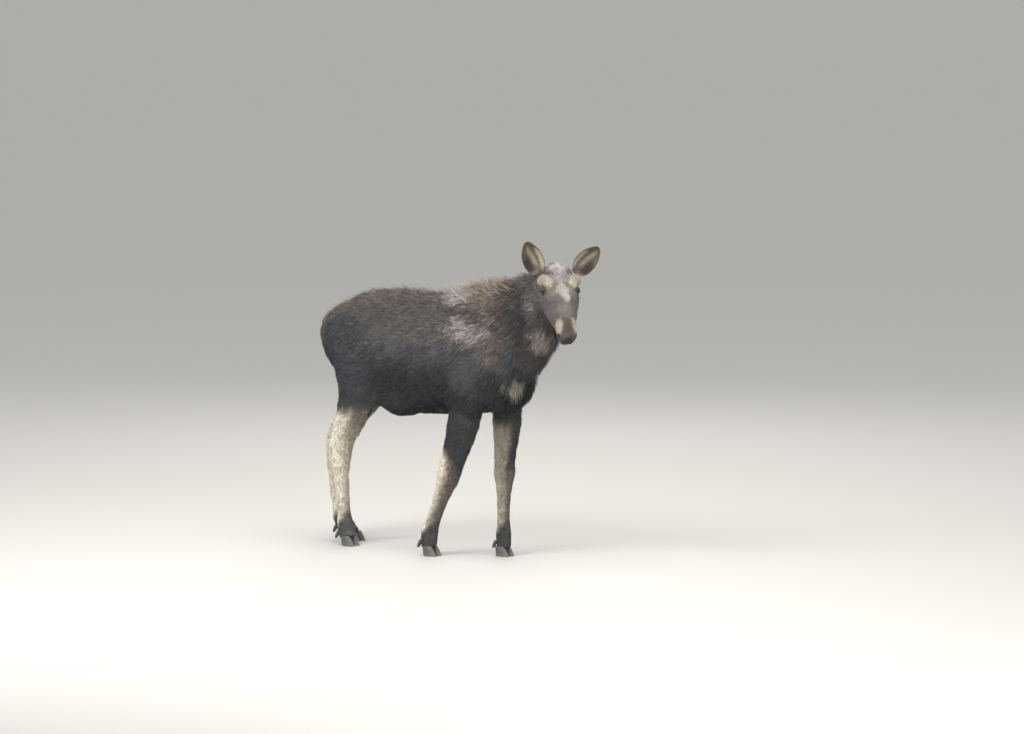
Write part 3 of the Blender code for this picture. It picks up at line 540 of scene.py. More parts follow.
# how the coat lies, and how long it is
# Each guide is a line near the body. The nearer a point is to it, measured in its reach, the more the coat
# there follows the guide. Sizes in mm; "both" lays one on each side.
lie = {
    # region: (from, to, direction of the hair, reach m, hair length, depth of coat, tuft width, both)
    "trunk": (
        ((-0.62, 0.0, 1.56), (0.18, 0.0, 1.58), (-1.0, 0.0, -0.14), 0.2, 52, 14, 4.0, False),  # back
        ((-0.45, 0.24, 1.2), (0.25, 0.24, 1.2), (-0.88, 0.05, -0.45), 0.24, 42, 10, 3.6, True),  # flank
        ((-0.35, 0.05, 0.86), (0.3, 0.05, 0.86), (-1.0, 0.0, 0.0), 0.2, 40, 9, 4.0, True),  # belly
        ((-0.79, 0.07, 1.38), (-0.74, 0.07, 1.1), (-0.25, 0.1, -1.0), 0.16, 38, 10, 4.0, True),  # rump
        ((-0.52, 0.24, 1.3), (-0.46, 0.24, 1.0), (-0.5, 0.05, -0.86), 0.19, 34, 8, 3.6, True),  # thigh
        ((0.45, 0.2, 1.38), (0.42, 0.2, 1.05), (-0.66, 0.05, -0.76), 0.2, 44, 11, 3.8, True),  # shoulder
        ((0.3, 0.0, 1.62), (0.52, 0.0, 1.66), (-0.95, 0.0, 0.22), 0.13, 84, 27, 4.0, False),  # hump
        ((0.62, 0.16, 1.2), (0.6, 0.15, 1.02), (-0.42, 0.1, -0.9), 0.16, 50, 13, 3.8, True),  # chest side
        ((0.74, 0.0, 1.16), (0.68, 0.0, 0.94), (-0.3, 0.0, -0.95), 0.13, 60, 17, 4.0, False),  # brisket
    ),
    "neck": (
        ((0.6, 0.0, 1.7), (0.95, -0.03, 1.81), (-0.86, 0.0, -0.1), 0.13, 84, 27, 4.0, False),  # crest
        ((0.6, 0.17, 1.5), (0.9, 0.13, 1.62), (-0.72, 0.05, -0.66), 0.16, 60, 17, 3.8, True),  # side
        ((0.72, 0.14, 1.22), (0.94, 0.11, 1.42), (-0.42, 0.05, -0.88), 0.14, 62, 17, 3.8, True),  # lower side
        ((0.8, 0.0, 1.15), (1.01, -0.04, 1.34), (-0.28, 0.0, -0.96), 0.11, 76, 21, 3.8, False),  # throat
    ),
    "tail": (
        ((-0.82, 0.0, 1.4), (-0.85, 0.0, 1.28), (-0.1, 0.0, -1.0), 0.055, 42, 7, 4.4, False),
    ),
    # the same in head coordinates: along, above, across
    "head": (
        ((0.1, 0.02, 0.0), (0.34, 0.0, 0.0), (-1.0, -0.02, 0.0), 0.08, 13, 4.5, 2.4, False),  # bridge
        ((0.38, 0.0, 0.0), (0.55, -0.05, 0.0), (-1.0, 0.05, 0.0), 0.07, 8, 3.0, 1.9, False),  # nose
        ((0.2, -0.12, 0.11), (0.4, -0.12, 0.07), (-1.0, -0.25, 0.0), 0.08, 15, 4.5, 2.6, True),  # side
        ((0.45, -0.12, 0.06), (0.54, -0.12, 0.05), (-1.0, -0.3, 0.1), 0.06, 8, 3.0, 1.9, True),  # lip
        ((0.3, -0.23, 0.03), (0.48, -0.19, 0.02), (-1.0, -0.45, 0.0), 0.06, 15, 4.5, 2.6, True),  # chin
        ((0.05, -0.18, 0.11), (0.14, -0.21, 0.09), (-0.85, -0.6, 0.05), 0.09, 28, 9.0, 2.8, True),  # cheek
        ((0.09, -0.19, 0.155), (0.18, -0.22, 0.15), (-0.75, -0.65, 0.05), 0.06, 32, 10.0, 2.8, True),  # jaw
        ((0.02, -0.05, 0.12), (0.1, -0.06, 0.12), (-0.95, 0.1, 0.25), 0.07, 16, 5.0, 2.8, True),  # temple
        ((-0.03, 0.01, 0.0), (0.03, 0.03, 0.0), (-0.6, 0.75, 0.0), 0.055, 38, 13, 3.4, False),  # crown
        ((-0.1, -0.02, 0.05), (-0.05, -0.02, 0.07), (-1.0, 0.1, 0.1), 0.07, 40, 13, 4.2, True),  # nape
    ),
}

legLie = (
    # joint it starts from, share of the way to the next, reach in m on fore and hind legs, then hair length,
    # depth of coat and tuft width in mm
    (1, 0.25, (0.13, 0.273), 24, 6, 3.6),
    (2, 0.0, (0.075, 0.075), 15, 4, 2.7),
    (3, 0.0, (0.07, 0.07), 13, 3, 2.5),
)


def guideArrays():
    # every guide as a row: from, to, direction, reach, length, depth, width, region number
    rows = []
    regions = ["trunk", "neck", "tail", "head"] + list(legs["joints"])
    for region, guides in lie.items():
        for *line, reach, length, depth, width, both in guides:
            start, end, direction = np.array(line)
            sizes = (length, depth, width)
            for side in (1, -1) if both else (1,):
                if region == "head":
                    flip = np.array([1, 1, side])
                    placed = [headPoint(*(start * flip)), headPoint(*(end * flip)),
                              headAxes @ (direction * flip)[[0, 2, 1]]]
                else:
                    placed = [row * np.array([1, side, 1]) for row in (start, end, direction)]
                rows.append((*np.concatenate(placed), reach, *sizes, regions.index(region)))
    for name, joints in legs["joints"].items():
        for i, share, reaches, *sizes in legLie:
            start, end = np.array(joints[i]), np.array(joints[i + 1])
            rows.append((*(start + share * (end - start)), *end, *(end - start),
                         reaches[name.startswith("hind")], *sizes, regions.index(name)))
    return np.array(rows), regions


guideRows, regionNames = guideArrays()


def coatAt(points):
    # direction, length, depth, width and region at each point. A guide's weight is exp(-2 (d^2 - least d^2)),
    # with d the distance to its line in reaches
    starts, spans = guideRows[:, 0:3], guideRows[:, 3:6] - guideRows[:, 0:3]
    values = np.hstack([unit(guideRows[:, 6:9]), guideRows[:, 10:13] / 1000])
    blend, region = [], []
    for some in np.array_split(points, 1 + len(points) // 20000):  # in lots, to save memory
        offset = some[:, None] - starts
        t = np.clip((offset * spans).sum(-1) / (spans**2).sum(-1), 0, 1)
        square = (np.linalg.norm(offset - t[..., None] * spans, axis=-1) / guideRows[:, 9])**2
        weights = np.exp(-2.0 * (square - square.min(1, keepdims=True)))
        blend.append(weights / weights.sum(1, keepdims=True) @ values)
        region.append(guideRows[square.argmin(1), 13].astype(int))
    blend = np.vstack(blend)
    return blend[:, :3], blend[:, 3], blend[:, 4], blend[:, 5], np.concatenate(region)


# the markings, the same for skin and coat
coat = {
    "palest": 0.92,  # no colour is lighter
    "frontShade": 0.45,  # how much darker the front of the leg is over the knee
    # height and colour down the trunk: lighter on the back and darker towards the belly, partly the coat's
    # own colour and partly painted light and shade
    "byHeight": ((1.64, "615750"), (1.56, "544b44"), (1.5, "514b46"), (1.42, "554f4c"), (1.34, "56514f"),
                 (1.28, "514f4f"), (1.22, "414143"), (1.16, "303135"), (1.08, "1f2124"), (0.95, "181a1d")),
    # patches of the body: centre, radii, colour, how much of it covers
    "patches": (
        ((-0.5, 0.2, 1.32), (0.19, 0.2, 0.15), "3d3d40", 0.9),  # haunch
        ((-0.62, 0.0, 1.5), (0.2, 0.3, 0.1), "554c45", 0.85),  # top of the rump
        ((-0.34, 0.0, 1.53), (0.1, 0.12, 0.07), "6a5e55", 0.7),  # loin
        ((-0.46, 0.22, 1.02), (0.2, 0.14, 0.2), "3d3f44", 0.9),  # thigh
        ((-0.8, 0.0, 1.28), (0.12, 0.2, 0.2), "54504e", 0.8),  # behind the thigh
        ((-0.06, 0.2, 1.0), (0.25, 0.2, 0.14), "1a1d20", 0.85),  # flank behind the elbow
        ((0.46, 0.2, 1.16), (0.15, 0.14, 0.15), "4a494a", 0.85),  # shoulder
        ((0.61, 0.15, 1.31), (0.085, 0.12, 0.14), "6f5f57", 0.75),  # in front of the shoulder
        ((0.66, 0.15, 1.46), (0.05, 0.12, 0.12), "4f423c", 0.7),
        ((0.5, 0.2, 1.385), (0.16, 0.12, 0.06), "7c746e", 0.8),  # winter hair coming off the shoulder
        ((0.4, 0.2, 1.43), (0.05, 0.1, 0.05), "807a74", 0.8),
        ((0.48, 0.0, 1.6), (0.23, 0.2, 0.1), "796c61", 0.9),  # withers
        ((0.32, 0.05, 1.58), (0.12, 0.14, 0.055), "98918a", 0.85),  # behind the withers
    ),
    # one pale patch, on the right only
    "chest": (((0.735, -0.06, 1.065), (0.085, 0.085, 0.06), "999085", 0.9),),
    "neck": ((0.66, 0.82), "3d3836"),
    "neckPatches": (
        ((0.87, 0.15, 1.55), (0.055, 0.12, 0.13), "272526", 0.85),  # painted shade behind the jaw
        ((0.72, 0.0, 1.68), (0.12, 0.1, 0.07), "58504a", 0.8),  # crest
        ((0.97, 0.1, 1.385), (0.055, 0.09, 0.075), "988f88", 0.9),  # throat
        ((0.93, 0.12, 1.42), (0.06, 0.09, 0.05), "4e4a48", 0.7),
    ),
    # top of the leg, then from the back to the front of the leg, its inner side, and the foot; the pale back
    # is partly the leg's own colour and partly painted light
    "foreleg": {"top": "363537", "shades": ("e6ddc8", "9f9481", "6a625a"), "stops": (-0.32, 0.3, 0.8),
                "inner": "a39b8b", "foot": "454442", "paleFrom": (0.67, 0.54), "innerFrom": (0.88, 0.74),
                "footFrom": (0.2, 0.13), "tilt": 0.07, "low": 1.0},
    "hindleg": {"top": "3e3f42", "shades": ("f6eedb", "e2dac6", "a89c8a"), "stops": (-0.45, 0.25, 0.95),
                "inner": "dcd4bf", "foot": "565453", "paleFrom": (0.895, 0.79), "innerFrom": (0.905, 0.8),
                "footFrom": (0.2, 0.12), "tilt": -0.02, "low": 0.88},
    # the pale blaze, on the left of the middle, with across counted to the left
    "blaze": (
        ((0.205, 0.01, 0.004), (0.05, 0.05, 0.04), "9c978f", 0.9),
        ((0.262, 0.01, 0.018), (0.055, 0.05, 0.026), "a29d95", 0.95),
    ),
    # patches of the head: centre along, above, |across|, radii, colour, how much of it covers
    "headBase": "504a47",
    "headPatches": (
        ((0.12, -0.16, 0.105), (0.1, 0.12, 0.07), "5a5552", 0.9),  # cheek
        ((0.23, -0.2, 0.1), (0.09, 0.1, 0.09), "423e3c", 0.9),  # below the cheek
        ((0.19, 0.0, 0.0), (0.1, 0.08, 0.11), "6f6355", 0.9),  # upper face
        ((0.305, -0.02, 0.055), (0.05, 0.05, 0.035), "524a45", 0.85),
        ((0.11, 0.01, 0.0), (0.055, 0.06, 0.055), "8a8682", 0.9),  # forehead
        ((0.132, -0.015, 0.082), (0.052, 0.06, 0.044), "a89d8d", 0.95),  # brow
        ((0.0, 0.02, 0.0), (0.065, 0.09, 0.06), "a6a09c", 0.95),  # crown
        ((0.385, 0.0, 0.0), (0.075, 0.05, 0.05), "675b50", 0.85),  # bridge
        ((0.49, -0.05, 0.049), (0.06, 0.065, 0.028), "a4978a", 0.85),  # beside the nose
        ((0.515, 0.0, 0.0), (0.062, 0.09, 0.028), "453223", 0.98),  # nose
        ((0.585, -0.115, 0.0), (0.04, 0.06, 0.06), "302b28", 0.95),  # lips
        ((0.5, -0.19, 0.0), (0.12, 0.055, 0.08), "34302e", 0.95),  # chin
        ((0.541, -0.074, 0.044), (0.022, 0.014, 0.022), "1c1815", 0.95),  # painted shade inside the nostril
        ((0.175, -0.028, 0.08), (0.03, 0.03, 0.022), "6d6358", 0.6),
        ((0.156, -0.04, 0.098), (0.037, 0.034, 0.037), "27221f", 0.97),  # round the eye
    ),
}


def mixed(first, second, amount):
    return first * (1 - amount[:, None]) + second * amount[:, None]


def plain(hexColour, points):
    # one colour for every point
    return np.tile(linear(hexColour), (len(points), 1))


def shadeBetween(places, hexColours, values):
    # straight from one colour to the next
    shades = np.array([linear(shade) for shade in hexColours])
    return np.stack([np.interp(values, places, shades[:, i]) for i in range(3)], 1)


def foldedBody(points):
    # both sides of the body as one: y counts outwards
    return np.stack([points[:, 0], np.abs(points[:, 1]), points[:, 2]], 1)


def alongJoints(heights, joints):
    # x and y of the line through the joints at these heights
    joints = np.array(sorted(joints, key=lambda joint: joint[2]))
    return [np.interp(heights, joints[:, 2], joints[:, i]) for i in (0, 1)]


def legShare(points, name):
    # how far each point is to the front of its leg (-1 back to 1 front) and to the inside (-1 to 1)
    x, y = alongJoints(points[:, 2], legs["joints"][name])
    size = 0.052 + 0.075 * smooth(0.45, 0.95, points[:, 2])
    inward = -1 if name.endswith("left") else 1
    return (points[:, 0] - x) / size, inward * (points[:, 1] - y) / (0.75 * size)


def legColour(points, name, rough):
    # dark top, then pale at the back (partly painted light) and dark along the front, then the dark foot
    paint = coat[name.split("_")[0]]
    ahead, inward = legShare(points, name)
    z = points[:, 2] + 0.05 * rough
    ahead = ahead + 0.2 * rough + 0.3 * smooth(0.45, 0.25, z)
    # darker below the knee by "low", and by "frontShade" on the front above it
    below = 1 - (1 - paint["low"]) * smooth(0.62, 0.42, z)
    front = 1 - coat["frontShade"] * smooth(0.66, 0.8, z) * smooth(0.2, 0.9, ahead)
    banded = shadeBetween(paint["stops"], paint["shades"], ahead) * (below * front)[:, None]
    inside = smooth(0.0, 0.5, inward) * smooth(1.0, 0.5, ahead)
    outerPale = smooth(*paint["paleFrom"], z + paint["tilt"] * ahead)
    pale = outerPale * (1 - inside) + smooth(*paint["innerFrom"], z) * inside
    colours = mixed(plain(paint["top"], points), mixed(banded, linear(paint["inner"]), 0.6 * inside), pale)
    return mixed(colours, linear(paint["foot"]), smooth(*paint["footFrom"], z - 0.06 * np.clip(ahead, -1, 1)))


def coverPatches(colours, places, patches, rough):
    for centre, radii, colour, amount in patches:
        reach = np.linalg.norm((places - np.array(centre)) / np.array(radii), axis=1) + rough
        colours = mixed(colours, linear(colour), amount * smooth(1.25, 0.55, reach))
    return colours


def coatColour(points, region):
    # base by height (partly painted light and shade), then patches with uneven edges, then legs and head
    uneven = 0.03 * waves(points, 0.13, 5)
    level = points[:, 2] + uneven
    rough = 0.16 * waves(points, 0.06, 8) + 0.1 * waves(points, 0.025, 9)
    folded = foldedBody(points)
    colours = shadeBetween(*zip(*reversed(coat["byHeight"])), level)
    colours = coverPatches(colours, folded, coat["patches"], rough)
    colours = coverPatches(colours, points, coat["chest"], rough)
    (back, front), shade = coat["neck"]
    neck = smooth(back, front, points[:, 0] + 0.35 * (points[:, 2] - 1.4) + uneven) * smooth(1.1, 1.2, level)
    colours = mixed(colours, coverPatches(plain(shade, points), folded, coat["neckPatches"], rough), neck)
    for number, name in enumerate(regionNames):
        here = region == number
        if name in legs["joints"] and here.any():
            own = legColour(points[here], name, rough[here])
            colours[here] = mixed(colours[here], own, smooth(1.02, 0.88, points[here, 2]))
    place = toHead(points)
    onHead = smooth(-0.14, -0.02, place[:, 0]) * smooth(-0.3, -0.24, place[:, 1])
    onHead = onHead * smooth(0.2, 0.175, np.abs(place[:, 2]) + 0.01 * rough)
    own = coverPatches(plain(coat["headBase"], points), foldedHead(place), coat["headPatches"], 0.6 * rough)
    own = coverPatches(own, place, coat["blaze"], 0.9 * rough)
    return np.clip(mixed(colours, own, onHead), 0, coat["palest"])


# the skin: inside the outline by the depth of the coat, with the folds of the face
face = {
    # half angles of the eye's opening in radians; then in m how far the skin behind the lids lies inside the
    # eyeball, how far their rim stands over it, the fold's height, and how far from the eye's centre all ends
    "lid": {"wide": 1.02, "high": 0.68, "sink": 0.005, "rim": 0.0024, "fold": 0.0016, "reach": 0.055},
    "gaze": (0.56, 0.72, 0.41),  # which way each eye faces: to the nose, outwards, up
    # half sizes along its slant, over it and across; the slant as cosine and sine
    "nostril": {"place": (0.538, -0.07, 0.04), "length": 0.021, "height": 0.0085, "across": 0.03,
                "slant": (0.8, 0.6), "depth": 0.016, "rim": 0.0028},
    "mouth": {"front": (0.545, -0.142), "corner": (0.395, -0.15), "depth": 0.006, "width": 0.006},
    "hollow": {"place": (0.25, -0.075), "size": (0.05, 0.03), "depth": 0.005},  # before the eye
}


def refineHead(obj):
    # halves the edges of the head once, of the face's features again, round the eyes a third time
    steps = (
        lambda h: (h[:, 0] > -0.02) & (h[:, 1] > -0.27),
        lambda h: ((h[:, 0] > 0.42) & (h[:, 1] > -0.22)) | (eyeDistance(h) < 0.06),
        lambda h: (eyeDistance(h) < 0.036) | (nostrilDistance(h) < 0.036),
    )
    for step in steps:
        bm = bmesh.new()
        bm.from_mesh(obj.data)
        points = np.array([v.co[:] for v in bm.verts])
        inside = step(toHead(points))
        bm.verts.ensure_lookup_table()
        edges = [e for e in bm.edges if inside[e.verts[0].index] and inside[e.verts[1].index]]
        bmesh.ops.subdivide_edges(bm, edges=edges, cuts=1, use_grid_fill=True)
        bmesh.ops.triangulate(bm, faces=[f for f in bm.faces if len(f.verts) > 4])
        bm.to_mesh(obj.data)
        bm.free()
        points = meshArrays(obj.data)[0]
        smoothWhere(obj, step(toHead(points)).astype(float), 3)


def eyeDistance(place):
    return np.linalg.norm(foldedHead(place) - np.array(eye["place"]), axis=1)


def nostrilDistance(place):
    return np.linalg.norm(foldedHead(place) - np.array(face["nostril"]["place"]), axis=1)


def eyeAxes(side):
    # level, upward and outward axes of an eye
    forward, out, up = face["gaze"]
    outward = unit(headAxes @ np.array([forward, out if side == "left" else -out, up]))
    level = unit(np.cross(outward, headAxes[:, 2]))
    return level, np.cross(level, outward), outward


def shapeFace(points, normals):
    # lids: each point near an eye moves along its ray from the eye's centre. With a the angle from the line
    # of sight, over the opening's half angle in that direction, its new distance is the radius - sink for
    # a < 0.86, the radius + rim at a = 1, and its own distance again past a = 2
    lid = face["lid"]
    for side in ("left", "right"):
        level, upward, outward = eyeAxes(side)
        ray = points - eyeCentre[side]
        distance = np.linalg.norm(ray, axis=1)
        near = distance < lid["reach"]
        direction = unit(ray)
        angle = np.arccos(np.clip(direction @ outward, -1, 1))
        u, v = direction @ level, direction @ upward
        size = np.maximum(np.hypot(u, v), 1e-6)
        a = angle * np.hypot(u / size / lid["wide"], v / size / lid["high"])
        rim = eye["radius"] + lid["rim"]
        target = eye["radius"] - lid["sink"] + (lid["rim"] + lid["sink"]) * smooth(0.86, 1.0, a)
        target = target + lid["fold"] * (np.exp(-((a - 1.16) / 0.11)**2) - np.exp(-((a - 1.48) / 0.12)**2))
        keep = smooth(1.12, 2.0, a)
        moved = np.maximum(target * (1 - keep) + distance * keep, np.where(a > 1.0, rim, 0))
        points = np.where(near[:, None], eyeCentre[side] + direction * moved[:, None], points)
    place = toHead(points)
    folded = foldedHead(place)
    # nostril: a slanting oval dent, deepest in the middle, with a raised rim
    spot = face["nostril"]
    offset = folded - np.array(spot["place"])
    c, s = spot["slant"]
    lengthwise, heightwise = c * offset[:, 0] - s * offset[:, 1], s * offset[:, 0] + c * offset[:, 1]
    oval = np.sqrt((lengthwise / spot["length"])**2 + (heightwise / spot["height"])**2
                   + (offset[:, 2] / spot["across"])**2)
    dent = -spot["depth"] * smooth(1.0, 0.25, oval) + spot["rim"] * np.exp(-((oval - 1.35) / 0.35)**2)
    # mouth: a groove from the front of the lips to the corner
    mouth = face["mouth"]
    (frontAlong, frontAbove), (backAlong, backAbove) = mouth["front"], mouth["corner"]
    t = np.clip((folded[:, 0] - backAlong) / (frontAlong - backAlong), 0, 1.2)
    line = backAbove + (frontAbove - backAbove) * t
    groove = np.exp(-((folded[:, 1] - line) / mouth["width"])**2) * smooth(-0.02, 0.15, t)
    groove = groove * (folded[:, 0] > backAlong - 0.01)
    dent = dent - mouth["depth"] * groove
    # a shallow hollow before the eye, on the sides of the face only
    hollow = face["hollow"]
    square = (((folded[:, :2] - np.array(hollow["place"])) / np.array(hollow["size"]))**2).sum(1)
    dent = dent - hollow["depth"] * np.exp(-square) * (folded[:, 2] > 0.03)
    return points + normals * (dent * (eyeDistance(place) > 0.03))[:, None]


def earFrame(forward, left, up, facingLeft):
    # along the ear, across it, and out of its opening
    turn = turnAbout("Z", headPose["yaw"])
    along = unit(turn @ np.array([forward, left, up]))
    opening = turn @ np.array([1.0, facingLeft, 0.15])
    opening = unit(opening - (opening @ along) * along)
    return along, np.cross(opening, along), opening


ears = {
    "length": 0.206,
    "halfWidth": 0.063,
    "thickness": 0.007,
    "root": (0.005, -0.038, 0.112),
    "directions": {"left": (0.0, 0.66, 0.75, 0.12), "right": (0.0, -0.36, 0.93, -0.12)},
    "inset": 0.0022,  # fur on its back
    "edge": 0.0012,  # and round its rim
    "cup": (0.006, 0.034),  # depth at the tip, and how much deeper at the root
    "lean": 0.018,  # how far the middle bows back
    "curl": 1.35,  # radians that each half is rolled through
}


def earTube(side):
    # a leaf rolled into a cup; t runs from root to tip, s across it. The half width is
    # halfWidth sin(pi t^0.78)^0.6, and the cup's depth cup[1] (1 - t)^0.8 + cup[0]
    sign = 1 if side == "left" else -1
    along, across, opening = earFrame(*ears["directions"][side])
    root = headPoint(ears["root"][0], ears["root"][1], sign * ears["root"][2])
    t = np.linspace(0.0, 1.0, 34)[:, None]
    s = np.linspace(-1.0, 1.0, 25)[None]
    leaf = np.sin(math.pi * np.minimum(t * 0.96 + 0.02, 0.99)**0.78)**0.6
    half = np.maximum(ears["halfWidth"] * leaf, 0.03 * (1 - t)**2 + 0.004) - ears["edge"]
    cup = ears["cup"][1] * (1 - t)**0.8 + ears["cup"][0]
    wall = (ears["thickness"] - ears["inset"]) * (1.0 - 0.45 * t)
    lean = ears["lean"] * np.sin(math.pi * t)
    centre = root + along * (t * ears["length"])[..., None] - opening * lean[..., None]
    spread = np.sin(ears["curl"] * s) / math.sin(ears["curl"])
    inner = centre + across * (half * spread)[..., None] - opening * (cup * (1 - s * s))[..., None]
    outer = (centre + across * ((half + 0.35 * wall) * spread)[..., None]
             - opening * (cup * (1 - s * s) + wall)[..., None])
    rings = np.concatenate([inner, outer[:, ::-1]], axis=1)
    # chart: t, then s folded out over 0.01 to 0.49 inside and 0.51 to 0.99 behind
    inside = np.stack([t * np.ones_like(s), 0.25 + 0.24 * s * np.ones_like(t)], -1)
    behind = np.stack([t * np.ones_like(s), 0.75 - 0.24 * s[:, ::-1] * np.ones_like(t)], -1)
    chart = np.vstack([np.concatenate([inside, behind], 1).reshape(-1, 2), [[0.0, 0.5], [1.0, 0.5]]])
    return rings, chart


def earPlaces(chart, side):
    # root to tip, how far to the ear's outer edge (-1 to 1), and 1 for the inside
    t, v = chart[:, 0], chart[:, 1]
    inside = (v < 0.5).astype(float)
    s = np.where(v < 0.5, v - 0.25, 0.75 - v) / 0.24
    return t, s * (1 if side == "right" else -1), inside


earPaint = {
    "inside": "655a4b", "tip": "51473b", "back": "5b534e", "rim": "3e3936", "root": "70665a",
    "hollow": "2c2725",  # the dark lower half, towards the outer edge
    "streak": "978b75",  # pale hair up the middle
    "gap": "49423c",  # dark furrow beside the streak
    "fringe": "b3a690",  # pale hair along the inner edge
}


def earColour(chart, side):
    t, outer, inside = earPlaces(chart, side)
    colours = plain(earPaint["inside"], t)
    hollow = smooth(-0.05, 0.35, outer) * smooth(0.02, 0.15, t) * smooth(0.78, 0.5, t + 0.15 * outer)
    streak = np.exp(-((outer + 0.3 - 0.55 * t) / 0.18)**2) * smooth(0.12, 0.3, t) * smooth(0.95, 0.75, t)
    gap = np.exp(-((outer + 0.36) / 0.1)**2) * smooth(0.08, 0.2, t) * smooth(0.65, 0.45, t)
    covers = {
        "tip": smooth(0.55, 0.85, t), "hollow": 0.92 * hollow, "streak": 0.85 * streak, "gap": 0.9 * gap,
        "fringe": smooth(-0.46, -0.58, outer) * smooth(0.76, 0.56, t), "root": smooth(0.14, 0.02, t),
        "rim": smooth(0.84, 0.94, np.abs(outer)) * smooth(0.02, 0.2, t), "back": 1 - inside,
    }
    for name, amount in covers.items():
        colours = mixed(colours, linear(earPaint[name]), amount)
    return colours


def skinSurface():
    obj = fusedFlesh()
    points, normals = meshArrays(obj.data)
    depth = coatAt(points)[2]
    obj.data.vertices.foreach_set("co", (points - normals * depth[:, None]).astype(np.float32).ravel())
    obj.data.update()
    refineHead(obj)
    points, normals = meshArrays(obj.data)
    points = shapeFace(points, normals)
    points[:, 2] = np.maximum(points[:, 2], 0.052)
    faces = [tuple(p.vertices) for p in obj.data.polygons]
    quads = np.array([f for f in faces if len(f) == 4])
    triangles = np.array([f for f in faces if len(f) == 3]).reshape(-1, 3)
    bpy.data.objects.remove(obj)
    return points, quads, triangles


def makeSkin(material):
    # the body and both ears in one piece; gives its arrays back for the coat
    parts = [skinSurface()]
    charts = [np.zeros((len(parts[0][0]), 2))]
    for side in ("right", "left"):
        rings, chart = earTube(side)
        parts.append(closedTube(rings))
        charts.append(chart)
    sizes = [len(part[0]) for part in parts]
    points, quads, triangles = joined(parts)
    owner = np.repeat([0, 1, 2], sizes)  # body, right ear, left ear
    piece = meshObject("skin", points, quads, triangles, material)
    _, length, _, _, region = coatAt(points)
    # painted shade: the skin darker down among long hair than under short
    colours = coatColour(points, region) * (0.95 - 0.2 * smooth(0.015, 0.035, length))[:, None]
    for number, side in ((1, "right"), (2, "left")):
        colours[owner == number] = earColour(charts[number], side)
    setColour(piece.data, "coatColour", colours)
    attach(piece, "root")
    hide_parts("trunk", "neck", "head", "tail", "foreleg_left", "foreleg_right", "hindleg_left",
                "hindleg_right", "ear_left", "ear_right")
    return points, meshArrays(piece.data)[1], triangleArray(piece.data), np.vstack(charts), owner


# tufts
# short hair is a spindle (point, ring of three, point), long hair has two rings: place along the tuft,
# share of its width, and the painted shade at its root and painted light at its tip
tuftShapes = (
    {"t": (0.0, 0.38, 1.0), "width": (0.0, 1.0, 0.0), "shade": (0.72, 1.16)},
    {"t": (0.0, 0.26, 0.62, 1.0), "width": (0.0, 1.0, 0.72, 0.0), "shade": (0.52, 1.22)},
)


def spindleFaces(rings):
    # triangles of a closed spindle: root 0, rings of three, tip last
    last, tip = 3 * rings - 2, 3 * rings + 1
    faces = [(0, 1 + (i + 1) % 3, 1 + i) for i in range(3)]
    for a in range(1, last, 3):
        for i, j in ((0, 1), (1, 2), (2, 0)):
            faces += [(a + i, a + j, a + 3 + j), (a + i, a + 3 + j, a + 3 + i)]
    return np.array(faces + [(last + i, last + (i + 1) % 3, tip) for i in range(3)])


fur = {
    # how many tufts lie over each point
    "coverage": {"trunk": 3.0, "neck": 4.0, "tail": 4.0, "head": 4.7, "foreleg": 2.5, "hindleg": 2.5},
    "sink": 0.0015,  # roots start this far under the skin
    "thickness": 0.34,  # of a tuft, beside its width
    "longFrom": 0.028,  # hair longer than this bends in two places
    "swirl": 0.36,  # radians that neighbouring locks turn together
    "swirlSizes": (0.11, 0.035),  # metres across a whorl
    "stray": 0.13,  # radians that each tuft turns alone
    "bend": 0.1,  # how far its tip bends sideways, of its length
    "patch": 0.003,  # its size on the OFBake map
    "mostTriangles": 180000,  # in one piece of coat
    "bare": {"eye": 0.0215, "nostril": 0.012},  # no hair within these metres of their middles
    "lids": (0.052, 0.026),  # hair thins between these metres from the eye,
    "thinning": (0.55, 0.6, 0.35),  # by these shares of its length, depth and width
    "lightness": 0.14,  # how uneven single tufts are,
    "mottle": ((0.16, 0.035, 33), (0.1, 0.1, 34)),  # and patches of them: amount, size in m, seed
}
